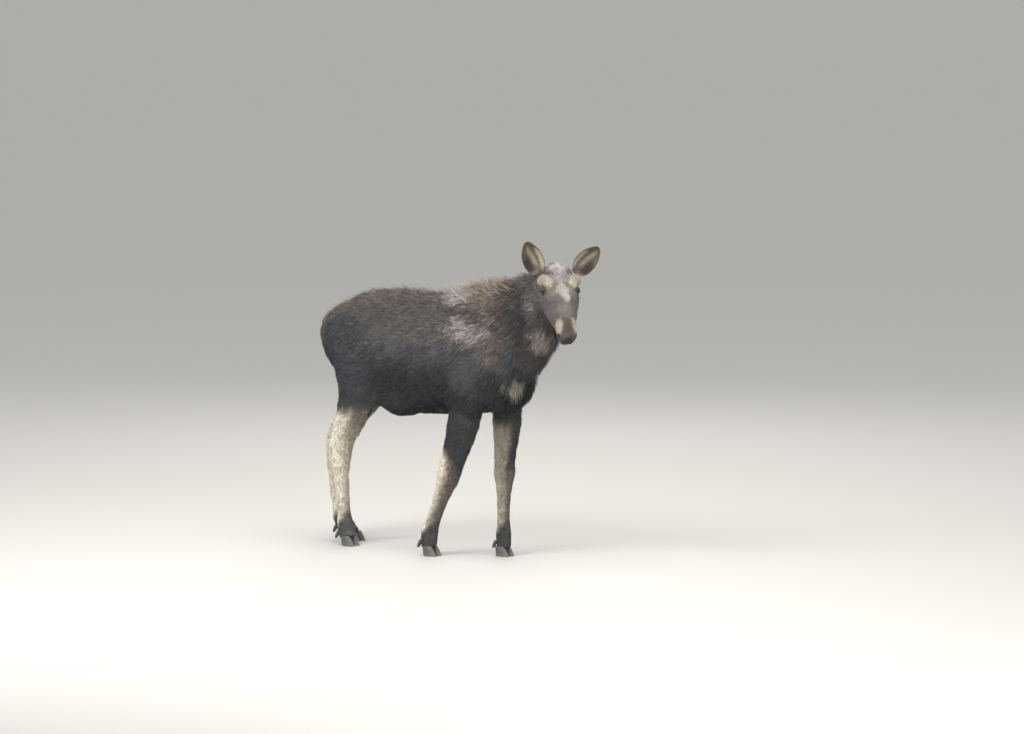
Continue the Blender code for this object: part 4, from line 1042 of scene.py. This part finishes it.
# locks of loose winter hair over the rest: centre, radii, how many, length mm, lift mm, width mm, direction,
# how much they take the colour, colour
strands = (
    ("body", (0.47, 0.18, 1.385), (0.14, 0.1, 0.055), 700, 54, 17, 3.2, (-0.75, 0.05, -0.6), 0.8, "b3aba7"),
    ("body", (0.41, 0.18, 1.44), (0.06, 0.1, 0.04), 200, 50, 16, 3.0, (-0.8, 0.05, -0.4), 0.8, "9e9791"),
    ("body", (0.3, 0.18, 1.4), (0.12, 0.1, 0.05), 160, 52, 16, 3.0, (-0.85, 0.05, -0.35), 0.6, "807973"),
    ("body", (0.6, 0.165, 1.47), (0.06, 0.08, 0.035), 170, 46, 15, 2.8, (-0.75, 0.05, -0.45), 0.8, "a09a95"),
    ("body", (0.36, 0.12, 1.57), (0.08, 0.08, 0.03), 220, 50, 16, 2.8, (-0.85, 0.05, -0.1), 0.9, "b7b3ae"),
    ("body", (0.47, 0.0, 1.66), (0.22, 0.12, 0.07), 620, 92, 46, 3.4, (-0.8, 0.0, 0.35), 0.9, "867969"),
    ("body", (0.26, 0.0, 1.6), (0.1, 0.12, 0.05), 260, 66, 24, 3.2, (-0.85, 0.0, 0.1), 0.9, "9e9791"),
    ("body", (-0.1, 0.0, 1.58), (0.48, 0.14, 0.06), 820, 64, 30, 3.4, (-0.9, 0.0, 0.1), 0.8, "645950"),
    ("body", (-0.62, 0.0, 1.48), (0.2, 0.2, 0.12), 460, 58, 26, 3.2, (-0.9, 0.0, -0.3), 0.8, "7d7061"),
    ("body", (0.78, 0.0, 1.72), (0.16, 0.1, 0.08), 420, 84, 30, 3.6, (-0.8, 0.0, 0.2), 0.7, "625950"),
    ("body", (0.98, 0.1, 1.37), (0.05, 0.08, 0.07), 260, 46, 17, 3.0, (-0.25, 0.0, -0.95), 0.8, "a0978f"),
    ("body", (0.62, 0.15, 1.3), (0.06, 0.1, 0.11), 240, 46, 13, 3.0, (-0.45, 0.05, -0.9), 0.8, "7e6e66"),
    ("head", (0.01, 0.03, 0.0), (0.06, 0.06, 0.05), 300, 34, 12, 2.2, (-0.6, 0.75, 0.0), 0.9, "b3adab"),
    ("head", (0.1, 0.02, 0.0), (0.05, 0.04, 0.05), 160, 22, 8, 2.0, (-0.95, 0.3, 0.0), 0.8, "918c87"),
    ("head", (0.15, -0.19, 0.155), (0.03, 0.04, 0.03), 30, 42, 17, 1.6, (-0.6, -0.8, 0.0), 1.0, "c0bab3"),
    ("head", (0.1, -0.2, 0.12), (0.07, 0.07, 0.06), 200, 34, 13, 2.2, (-0.8, -0.6, 0.0), 0.6, "5e5752"),
)


def sampleRoots(points, normals, triangles, share, rng, many=None):
    # share is how many roots each triangle should get, or its part of "many"; each root keeps its triangle's
    # corners and their weights
    share = share if many is None else share * many / share.sum()
    total = int(share.sum())
    chosen = np.searchsorted(np.cumsum(share), np.sort(rng.uniform(0, share.sum(), total)))
    chosen = np.minimum(chosen, len(triangles) - 1)
    a, b = rng.random((2, total))
    flip = a + b > 1
    a, b = np.where(flip, 1 - a, a), np.where(flip, 1 - b, b)
    weights = np.stack([1 - a - b, a, b], 1)
    corners = triangles[chosen]
    root = (points[corners] * weights[..., None]).sum(1)
    normal = unit((normals[corners] * weights[..., None]).sum(1))
    return root, normal, corners, weights


def growTufts(hairs, rng):
    # centre line: root + flow * length t + normal * (height (1 - (1 - t)^2) - sink (1 - t)); its section is a
    # low triangle with the ridge outward
    root, normal, flow = hairs["root"], hairs["normal"], hairs["flow"]
    broad, fine = fur["swirlSizes"]
    pitch = fur["swirl"] * (waves(root, broad, 21) + 0.9 * waves(root, fine, 22))
    pitch = pitch * hairs["free"] + fur["stray"] * rng.normal(size=len(root))
    across = np.cross(normal, flow)
    flow = flow * np.cos(pitch)[:, None] + across * np.sin(pitch)[:, None]
    across = np.cross(normal, flow)
    isLong = hairs["length"] > fur["longFrom"]
    pieces = []
    for shape, mask in zip(tuftShapes, (~isLong, isLong)):
        if not mask.any():
            continue
        r, n, f, s = root[mask], normal[mask], flow[mask], across[mask]
        length, width, height = (hairs[name][mask][:, None] for name in ("length", "width", "height"))
        bend = rng.normal(0, fur["bend"], (mask.sum(), 1)) * length
        rows, paintedRootShadeTipLight, patch = [], [], []
        for t, wide in zip(shape["t"], shape["width"]):
            centre = r + f * (length * t) + s * (bend * t * t)
            centre = centre + n * (height * (1 - (1 - t)**2) - fur["sink"] * (1 - t))
            # painted shade at the root, painted light towards the tip
            shade = np.interp(t * 1.25, (0, 1), shape["shade"])
            if wide == 0.0:
                rows.append(centre[:, None])
                patch.append([(0.5, t)])
                paintedRootShadeTipLight.append(np.full((mask.sum(), 1), shade))
            else:
                half, thick = 0.5 * width * wide, fur["thickness"] * width * wide
                rows.append(np.stack([centre - s * half, centre + s * half, centre + n * thick], 1))
                patch.append([(0.0, t - 0.1), (1.0, t), (0.5, t + 0.1)])
                paintedRootShadeTipLight.append(np.full((mask.sum(), 3), shade))
        local = np.array([p for row in patch for p in row])
        faces = spindleFaces(len(shape["t"]) - 2)
        pieces.append((np.concatenate(rows, 1), np.concatenate(paintedRootShadeTipLight, 1), local, faces, mask))
    return pieces


def coatPiece(name, hairs, chart, material, rng):
    # chart is each root's place on the unrolled skin; its tuft is a patch of 0.003 there
    low, high = chart.min(0), chart.max(0)
    chart = (chart - low) / (high - low) * (1 - fur["patch"])
    points, faces, shades, maps, start = [], [], [], [], 0
    for places, shade, local, pattern, mask in growTufts(hairs, rng):
        count, corners = places.shape[:2]
        pattern = facingOut(places[0], np.empty((0, 4), int), pattern)[2]
        points.append(places.reshape(-1, 3))
        faces.append((pattern[None] + (start + corners * np.arange(count))[:, None, None]).reshape(-1, 3))
        # the painted root shade and tip light, weaker on pale hair
        pale = smooth(0.12, 0.55, hairs["colour"][mask].mean(1))[:, None]
        shade = 1 + (shade - 1) * (1 - 0.7 * pale)
        shades.append((hairs["colour"][mask][:, None] * shade[..., None]).reshape(-1, 3))
        maps.append((chart[mask][:, None] + fur["patch"] * np.clip(local, 0, 1)[None]).reshape(-1, 2))
        start += count * corners
    points, faces = np.vstack(points), np.vstack(faces)
    piece = meshObject(name, points, triangles=faces, material=material)
    setColour(piece.data, "coatColour", np.clip(np.vstack(shades), 0, 0.95))
    setMap(piece.data, "OFBake", np.vstack(maps))
    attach(piece, "root")
    print(name, len(faces))


def chosenHairs(hairs, which):
    return {name: values[which] for name, values in hairs.items()}


def allHairs(groups):
    return {name: np.concatenate([group[name] for group in groups]) for name in groups[0]}


def alongSkin(flow, normal):
    return unit(flow - (flow * normal).sum(1, keepdims=True) * normal)


def triangleAreas(points, triangles):
    a, b, c = (points[triangles[:, i]] for i in range(3))
    return 0.5 * np.linalg.norm(np.cross(b - a, c - a), axis=1)


def speckle(rng, root, amount, low, high):
    # each hair's own lightness
    return (1 + amount * rng.normal(size=(len(root), 1))).clip(low, high)


def hairSet(rng, root, normal, flow, free, colour, *sizes):
    # hairs at these roots; the sizes are length, lift and width, each as (metres, least and most share of it)
    hairs = {"root": root, "normal": normal, "flow": alongSkin(flow, normal),
             "free": free * np.ones(len(root)), "colour": colour}
    for name, (size, least, most) in zip(("length", "height", "width"), sizes):
        hairs[name] = size * rng.uniform(least, most, len(root))
    return hairs


def baseHairs(points, normals, triangles, rng):
    # the whole coat, as many tufts as cover the skin "coverage" times
    _, length, _, width, region = coatAt(points)
    cover = np.array([fur["coverage"][name.split("_")[0]] for name in regionNames])[region]
    share = triangleAreas(points, triangles) * (cover / (length * width))[triangles].mean(1)
    place = toHead(points[triangles].mean(1))
    bare = fur["bare"]
    share = share * (eyeDistance(place) > bare["eye"]) * (nostrilDistance(place) > bare["nostril"])
    root, normal = sampleRoots(points, normals, triangles, share, rng)[:2]
    flow, length, depth, width, region = coatAt(root)
    lids = smooth(*fur["lids"], eyeDistance(toHead(root)))
    length, depth, width = (size * (1 - thin * lids)
                            for size, thin in zip((length, depth, width), fur["thinning"]))
    colour = coatColour(root, region) * speckle(rng, root, fur["lightness"], 0.6, 1.5)
    mottle = sum(amount * waves(root, size, seed) for amount, size, seed in fur["mottle"])
    colour = colour * (1 + mottle)[:, None]
    tousled = (1 + 0.4 * waves(root, 0.09, 31)).clip(0.3, 1.5)
    hairs = hairSet(rng, root, normal, flow, 1 - lids, colour, (length, 0.72, 1.2),
                    (depth * tousled, 0.55, 1.05), (width, 0.7, 1.25))
    return {**hairs, "region": region}


def strandHairs(points, normals, triangles, rng):
    # loose locks: the chance of one is exp(-1.5 d^2), with d the distance to the patch's centre in its radii
    groups = []
    middle = points[triangles].mean(1)
    areas = triangleAreas(points, triangles)
    for where, centre, radii, many, length, lift, width, direction, tint, hexColour in strands:
        place = foldedHead(toHead(middle)) if where == "head" else foldedBody(middle)
        square = (((place - np.array(centre)) / np.array(radii))**2).sum(1)
        share = areas * np.exp(-1.5 * square) * (square < 4)
        root, normal = sampleRoots(points, normals, triangles, share, rng, many)[:2]
        if where == "head":
            flow = headAxes @ np.array(direction)[[0, 2, 1]] + 0 * root
        else:
            flow = np.array(direction) + 0 * root
            flow[:, 1] *= np.sign(root[:, 1])
        region = coatAt(root)[4]
        shade = linear(hexColour) * speckle(rng, root, 0.18, 0.5, 1.5)
        colour = mixed(coatColour(root, region), shade, tint * rng.uniform(0.6, 1.0, len(root)))
        tousled = (1 + 0.5 * waves(root, 0.05, 35)).clip(0.2, 1.8)
        hairs = hairSet(rng, root, normal, flow, 1.3, colour, (length / 1000, 0.6, 1.25),
                        (lift / 1000 * tousled, 0.3, 1.3), (width / 1000, 0.6, 1.2))
        groups.append({**hairs, "region": region})
    return allHairs(groups)


def makeCoat(points, normals, triangles, material, rng):
    skin = (points, normals, triangles)
    hairs = allHairs([baseHairs(*skin, rng), strandHairs(*skin, rng)])
    chart = regionChart(hairs["root"], hairs["region"])
    for number, name in enumerate(regionNames):
        here = np.flatnonzero(hairs["region"] == number)
        each = np.where(hairs["length"][here] > fur["longFrom"], 12, 6)
        slices = max(1, math.ceil(each.sum() / fur["mostTriangles"]))
        order = here[chart[here, 0].argsort()]
        for part, own in enumerate(np.array_split(order, slices)):
            coatPiece("coat" + titled(name) + (str(part + 1) if slices > 1 else ""), chosenHairs(hairs, own),
                      chart[own], material, rng)


earFur = {
    # how many tufts on an ear, length mm, lift mm, width mm
    "inside": (2600, 13, 2.8, 1.5),
    "back": (2600, 8, 1.2, 1.7),
    "fringe": (520, 24, 7.0, 1.5),
}


def makeEarCoat(points, normals, triangles, charts, owner, material, rng):
    # inside, the hair runs up and outwards; behind, it lies flat; on the inner edge it crosses the opening
    groups, places = [], []
    for number, side in ((1, "right"), (2, "left")):
        along, across, opening = earFrame(*ears["directions"][side])
        own = triangles[(owner[triangles] == number).all(1)]
        own = own[np.ptp(charts[own][:, :, 1], axis=1) < 0.4]
        t, outer, inside = earPlaces(charts[own].mean(1), side)
        shares = {"inside": inside * (t > 0.03), "back": 1 - inside,
                  "fringe": inside * (outer < -0.5) * (outer > -0.86) * (t < 0.72)}
        outward = across * (1 if side == "right" else -1)
        for kind, (many, length, lift, width) in earFur.items():
            share = triangleAreas(points, own) * shares[kind]
            root, normal, corners, weights = sampleRoots(points, normals, own, share, rng, many)
            chart = (charts[corners] * weights[..., None]).sum(1)
            outer = earPlaces(chart, side)[1]
            turn = {"inside": 0.35 * outer, "back": 0.15 * outer, "fringe": 0.9 + 0 * outer}[kind]
            flow = along + outward * turn[:, None] + opening * (0.5 if kind == "fringe" else 0.0)
            fade = 1 - 0.45 * smooth(0.6, 1.0, chart[:, 0])  # shorter towards the tip
            groups.append(hairSet(
                rng, root, normal, flow, 0.6, earColour(chart, side) * speckle(rng, root, 0.16, 0.5, 1.5),
                (length / 1000 * fade, 0.6, 1.2), (lift / 1000 * fade, 0.5, 1.1), (width / 1000, 0.7, 1.2)))
            places.append(np.stack([0.5 * chart[:, 0] + 0.5 * (number - 1), chart[:, 1]], 1))
    coatPiece("coatEars", allHairs(groups), np.vstack(places), material, rng)


bud = {
    "root": (0.1, -0.036, 0.06), "crown": (0.086, -0.018, 0.101),  # as points of the head
    "radius": 0.037,
    "inset": 0.003,  # skin inside the outline by the velvet
    # share of the way from root to crown, share of the radius
    "profile": ((-0.3, 0.98), (0.0, 1.02), (0.5, 1.02), (0.95, 1.0), (1.26, 0.88), (1.45, 0.66),
                (1.57, 0.34)),
    # the skin under the velvet is darkened by painted shade
    "colour": "998d7c", "paintedSkinShade": 0.8,
    "tufts": 2000, "length": 0.012, "lift": 0.005, "width": 0.0021,
}


def budTube(side):
    # a blunt peg: rings about the line from root to crown, their radius from the profile
    flip = 1 if side == "left" else -1
    root, crown = (headPoint(p[0], p[1], flip * p[2]) for p in (bud["root"], bud["crown"]))
    outward = unit(crown - root)
    u = unit(np.cross(outward, headAxes[:, 0]))
    rows = spreadRows(bud["profile"], 25)
    rows[:, 1] = bud["radius"] * rows[:, 1] - bud["inset"]
    return pegRings(root - outward * bud["inset"], crown - root, u, np.cross(outward, u), rows, 28), outward


def makeBuds(material, rng):
    # both short stubs, with close velvet lying towards their crowns
    groups, places = [], []
    for number, side in enumerate(("right", "left")):
        rings, outward = budTube(side)
        points, quads, triangles = closedTube(rings)
        piece = meshObject("bud" + side.capitalize(), points, quads, triangles, material)
        # skin coloured with painted shade under the velvet
        setColour(piece.data, "coatColour", bud["paintedSkinShade"] * plain(bud["colour"], points))
        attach(piece, "root")
        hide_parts("antler_bud_" + side)
        corners = triangleArray(piece.data)
        root, normal = sampleRoots(points, meshArrays(piece.data)[1], corners, triangleAreas(points, corners),
                                   rng, bud["tufts"])[:2]
        flow = outward + 0.5 * headAxes[:, 2] - 0.5 * headAxes[:, 0] + 0 * root
        groups.append(hairSet(
            rng, root, normal, flow, 0.5, linear(bud["colour"]) * speckle(rng, root, 0.12, 0.6, 1.4),
            (bud["length"], 0.7, 1.2), (bud["lift"], 0.4, 1.0), (bud["width"], 0.7, 1.2)))
        local = root - rings.reshape(-1, 3).mean(0)
        angle = np.arctan2(local @ headAxes[:, 2], local @ headAxes[:, 0]) / (2 * math.pi) + 0.5
        places.append(np.stack([0.5 * angle + 0.5 * number, local @ outward], 1))
    coatPiece("coatBuds", allHairs(groups), np.vstack(places), material, rng)


def regionChart(points, region):
    # the skin unrolled region by region: u along the region's line, v the angle round it
    chart = np.zeros((len(points), 2))
    for number, name in enumerate(regionNames):
        here = region == number
        some = points[here]
        if name == "head":
            place = toHead(some)
            u, angle = place[:, 0], np.arctan2(place[:, 2], place[:, 1] + 0.1)
        elif name == "trunk":
            u, angle = some[:, 0], np.arctan2(some[:, 1], some[:, 2] - 1.22)
        elif name == "neck":
            offset = some - np.array([0.75, -0.01, 1.475])
            u = offset @ unit(np.array([0.5, -0.04, 0.4]))
            angle = np.arctan2(offset[:, 1], offset @ unit(np.array([-0.4, 0.0, 0.5])))
        else:
            x, y = alongJoints(some[:, 2], legs["joints"].get(name, body["tailLine"]))
            u, angle = some[:, 2], np.arctan2(some[:, 1] - y, some[:, 0] - x)
        chart[here] = np.stack([u, angle / (2 * math.pi) + 0.5], 1)
    return chart


# materials
def furMaterial(name, roughness, fineSize):
    # guard hairs: keratin, matt along the lock with a weak silky edge light
    material, tree, shader = newMaterial(name, {"Roughness": roughness, "IOR": 1.55, "Sheen Weight": 0.1,
                                                "Sheen Roughness": 0.5, "Specular IOR Level": 0.22})
    colour = addNode(tree, "ShaderNodeVertexColor", layer_name="coatColour")
    spot = addNode(tree, "ShaderNodeTexCoord").outputs["Object"]
    # single hairs about fineSize metres apart, drawn coarse enough to show
    grain = addNode(tree, "ShaderNodeTexNoise", {
        "Vector": spot, "Scale": 1.0 / fineSize, "Detail": 3.0, "Roughness": 0.6}).outputs["Fac"]
    ramp = addNode(tree, "ShaderNodeMapRange", {
        "Value": grain, "From Min": 0.25, "From Max": 0.75, "To Min": 0.78, "To Max": 1.18})
    shaded = addNode(tree, "ShaderNodeMix", {
        "Factor": 1.0, "A": colour.outputs["Color"], "B": ramp.outputs["Result"]},
        data_type="RGBA", blend_type="MULTIPLY")
    bump = addNode(tree, "ShaderNodeBump", {"Height": grain, "Strength": 0.35, "Distance": 0.002})
    setSockets(shader, {"Base Color": shaded.outputs["Result"], "Normal": bump.outputs["Normal"]})
    return material


irisShades = (
    # distance from the middle of the eye, over its width, and colour
    (0.0, "1d120b"), (0.27, "26170e"), (0.34, "0c0806"), (0.4, "2b221d"), (0.5, "241c18"),
)


def eyeMaterial():
    # a wet cornea over a dark brown iris, so the eye gives one sharp highlight; the pupil is a level oval
    material, tree, shader = newMaterial("wetEye", {"Roughness": 0.05, "IOR": 1.34, "Coat Weight": 0.25,
                                                    "Coat Roughness": 0.02})
    chart = addNode(tree, "ShaderNodeUVMap", uv_map="eyeChart").outputs["UV"]
    centred = addNode(tree, "ShaderNodeVectorMath", {0: chart, 1: (0.5, 0.5, 0.0)},
                      operation="SUBTRACT").outputs["Vector"]
    distance = addNode(tree, "ShaderNodeVectorMath", {0: centred}, operation="LENGTH")
    iris = addNode(tree, "ShaderNodeValToRGB", {"Fac": distance.outputs["Value"]})
    stops = iris.color_ramp.elements
    for place, shade in irisShades:
        stops.new(place).color = rgba(shade)
    stops.remove(stops[0])
    stops.remove(stops[-1])
    streaks = addNode(tree, "ShaderNodeTexNoise", {"Vector": chart, "Scale": 40.0, "Detail": 2.0})
    spread = addNode(tree, "ShaderNodeMapRange", {
        "Value": streaks.outputs["Fac"], "To Min": 0.7, "To Max": 1.3})
    brown = addNode(tree, "ShaderNodeMix", {
        "Factor": 1.0, "A": iris.outputs["Color"], "B": spread.outputs["Result"]},
        data_type="RGBA", blend_type="MULTIPLY")
    squeezed = addNode(tree, "ShaderNodeVectorMath", {0: centred, 1: (1.0, 1.9, 0.0)}, operation="MULTIPLY")
    oval = addNode(tree, "ShaderNodeVectorMath", {0: squeezed.outputs["Vector"]}, operation="LENGTH")
    pupil = addNode(tree, "ShaderNodeMapRange", {
        "Value": oval.outputs["Value"], "From Min": 0.14, "From Max": 0.16})
    whole = addNode(tree, "ShaderNodeMix", {
        "Factor": pupil.outputs["Result"], "A": (0.004, 0.003, 0.003, 1.0), "B": brown.outputs["Result"]},
        data_type="RGBA")
    setSockets(shader, {"Base Color": whole.outputs["Result"]})
    return material


def makeEyes():
    # an eyeball of radius r (1 + 0.06 exp(-(t / 0.55)^2)), t the angle from the line of sight
    material = eyeMaterial()
    t = np.linspace(0.03, math.pi - 0.05, 26)[:, None]
    a = circle(36)
    radius = eye["radius"] * (1 + 0.06 * np.exp(-(t / 0.55)**2))
    for side in ("left", "right"):
        level, upward, outward = eyeAxes(side)
        x, y = radius * np.sin(t) * np.cos(a), radius * np.sin(t) * np.sin(a)
        z = radius * np.cos(t) * np.ones(36)
        rings = eyeCentre[side] + x[..., None] * level + y[..., None] * upward + z[..., None] * outward
        points, quads, triangles = closedTube(rings)
        piece = meshObject("eyeball" + side.capitalize(), points, quads, triangles, material)
        local = points - eyeCentre[side]
        flat = np.stack([local @ level, local @ upward], 1) / (2 * eye["radius"])
        # the back half is charted as its rim, which the lids hide
        flat = np.where((local @ outward > 0)[:, None], flat, 0.5 * unit(flat))
        setMap(piece.data, "eyeChart", 0.5 + 0.98 * flat)
        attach(piece, "root")
        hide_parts("eye_" + side)


# hooves and dewclaws
hoof = {
    # toe: half lengths to the point and the heel, half width, and how far apart the two stand
    "front": 0.052, "heel": 0.042, "half": 0.0235, "cleft": 0.74, "spread": 0.025,
    "pointing": (0.42, 0.1),  # how far the outer and the cleft side close in towards the point
    # height, share of the length, share of the width, shift back
    "levels": ((0.0, 0.985, 0.97, 0.0), (0.0025, 1.01, 1.0, 0.0), (0.008, 1.02, 1.02, 0.0),
               (0.02, 0.92, 1.0, -0.002), (0.032, 0.82, 0.97, -0.004), (0.044, 0.7, 0.94, -0.007),
               (0.053, 0.61, 0.9, -0.01), (0.06, 0.54, 0.8, -0.012)),
    "clawPlace": 3.3, "clawBack": 0.048, "clawSpread": 0.024, "clawLength": 0.038, "clawFlat": 0.75,
    "clawProfile": ((-0.35, 0.013), (0.0, 0.0145), (0.45, 0.013), (0.8, 0.0088), (0.97, 0.0042)),
    "clawPointing": (-0.38, 0.2, -0.9),
    "sharpAngle": 50,  # degrees, edges sharper than this stay crisp
}


def toeRings(x, y, side):
    # an outline front |cos a|^0.8, half sin a, pointed at the front and flatter towards the cleft, carried up
    levels = spreadRows(hoof["levels"], 22)
    a = circle(44)
    c, s = np.cos(a), np.sin(a)
    front = np.where(c > 0, hoof["front"] * np.abs(c)**0.8, 0)
    inner = side * s < 0
    pointing = np.where(inner, hoof["pointing"][1], hoof["pointing"][0])
    across = s * hoof["half"] * np.where(inner, hoof["cleft"], 1.0) * (1 - pointing * np.maximum(c, 0)**2)
    rings = np.empty((len(levels), 44, 3))
    for row, (z, length, width, back) in enumerate(levels):
        heel = hoof["heel"] * (0.9 + 0.1 * length)
        rings[row] = np.stack([x + back + front * length + np.where(c > 0, 0, heel * c),
                               y + across * width, np.full(44, z)], 1)
    return rings


def clawRings(root, side):
    # a dewclaw: circles about its line, flattened sideways, their radius from the profile
    back, out, down = hoof["clawPointing"]
    axis = unit(np.array([back, side * out, down]))
    u = unit(np.cross(axis, np.array([0.0, 1.0, 0.0])))
    return pegRings(root, hoof["clawLength"] * axis, np.cross(axis, u), hoof["clawFlat"] * u,
                    spreadRows(hoof["clawProfile"], 15), 20)


def hornMaterial():
    # grey horn: hard and dull, streaked down the wall with faint growth rings, so the light on it is broken
    material, tree, shader = newMaterial("hoofHorn", {"IOR": 1.54})
    spot = addNode(tree, "ShaderNodeTexCoord").outputs["Object"]
    # streaks 1.5 mm apart run down the wall; rings 6 mm apart go round it
    squeezed = addNode(tree, "ShaderNodeMapping", {"Vector": spot, "Scale": (1.0, 1.0, 0.08)})
    streaks = addNode(tree, "ShaderNodeTexNoise", {
        "Vector": squeezed.outputs["Vector"], "Scale": 650.0, "Detail": 3.0}).outputs["Fac"]
    rings = addNode(tree, "ShaderNodeTexWave", {
        "Vector": spot, "Scale": 50.0, "Distortion": 2.5, "Detail": 2.0, "Detail Scale": 1.2},
        bands_direction="Z")
    blend = addNode(tree, "ShaderNodeMix", {"A": streaks, "B": rings.outputs["Fac"], "Factor": 0.35},
                    data_type="FLOAT").outputs["Result"]
    ramp = addNode(tree, "ShaderNodeValToRGB", {"Fac": blend})
    for stop, place, shade in zip(ramp.color_ramp.elements, (0.3, 0.7), ("2b2a28", "5a5854")):
        stop.position, stop.color = place, rgba(shade)
    # dried mud up to 30 mm above the sole
    mud = addNode(tree, "ShaderNodeTexNoise", {"Vector": spot, "Scale": 90.0, "Detail": 4.0})
    height = addNode(tree, "ShaderNodeSeparateXYZ", {"Vector": spot})
    low = addNode(tree, "ShaderNodeMapRange", {
        "Value": height.outputs["Z"], "From Min": 0.0, "From Max": 0.03, "To Min": 0.55, "To Max": 0.0})
    amount = addNode(tree, "ShaderNodeMath", {0: low.outputs["Result"], 1: mud.outputs["Fac"]},
                     operation="MULTIPLY")
    muddy = addNode(tree, "ShaderNodeMix", {
        "Factor": amount.outputs["Value"], "A": ramp.outputs["Color"], "B": rgba("857a6b")},
        data_type="RGBA")
    shine = addNode(tree, "ShaderNodeMapRange", {"Value": streaks, "To Min": 0.42, "To Max": 0.68})
    bump = addNode(tree, "ShaderNodeBump", {"Height": blend, "Strength": 0.5, "Distance": 0.0012})
    setSockets(shader, {"Base Color": muddy.outputs["Result"], "Roughness": shine.outputs["Result"],
                        "Normal": bump.outputs["Normal"]})
    return material


def makeFeet():
    material = hornMaterial()
    for leg, joints in legs["joints"].items():
        place = leg.replace("leg_", "_")
        footX, footY, _ = joints[4]
        clawX, _, clawZ = curveThrough(joints, [hoof["clawPlace"]])[0]
        parts, nodes = [], []
        for side, word in ((1, "left"), (-1, "right")):
            root = np.array([clawX - hoof["clawBack"], footY + side * hoof["clawSpread"], clawZ])
            parts += [closedTube(toeRings(footX, footY + side * hoof["spread"], side)),
                      closedTube(clawRings(root, side))]
            nodes += [f"hoof_{place}_{word}_toe", f"{word}_dewclaw_{place}"]
        piece = meshObject("hooves" + titled(place), *joined(parts), material)
        piece.data.set_sharp_from_angle(angle=math.radians(hoof["sharpAngle"]))
        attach(piece, "root")
        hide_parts(*nodes)


def makeFloor():
    # matt painted board, so the feet throw soft shadows on it
    material = newMaterial("paleFloor", {"Roughness": 0.85, "Base Color": rgba(studio["floor"])})[0]
    half = studio["floorHalf"]
    corners = np.array([[-half, -half, 0], [half, -half, 0], [half, half, 0], [-half, half, 0]])
    meshObject("floor", corners, np.array([[0, 1, 2, 3]]), material=material, moved=False)


print("camera and lights")
makeCamera()
makeLights()

print("skin")
points, normals, triangles, charts, owner = makeSkin(furMaterial("undercoat", 0.8, 0.004))

print("coat")
rng = np.random.default_rng(41)
guardHair = furMaterial("guardHair", 0.72, 0.003)
makeCoat(points, normals, triangles[(owner[triangles] == 0).all(1)], guardHair, rng)
makeEarCoat(points, normals, triangles, charts, owner, guardHair, rng)

print("buds, eyes and hooves")
makeBuds(guardHair, rng)
makeEyes()
makeFeet()

print("floor")
makeFloor()
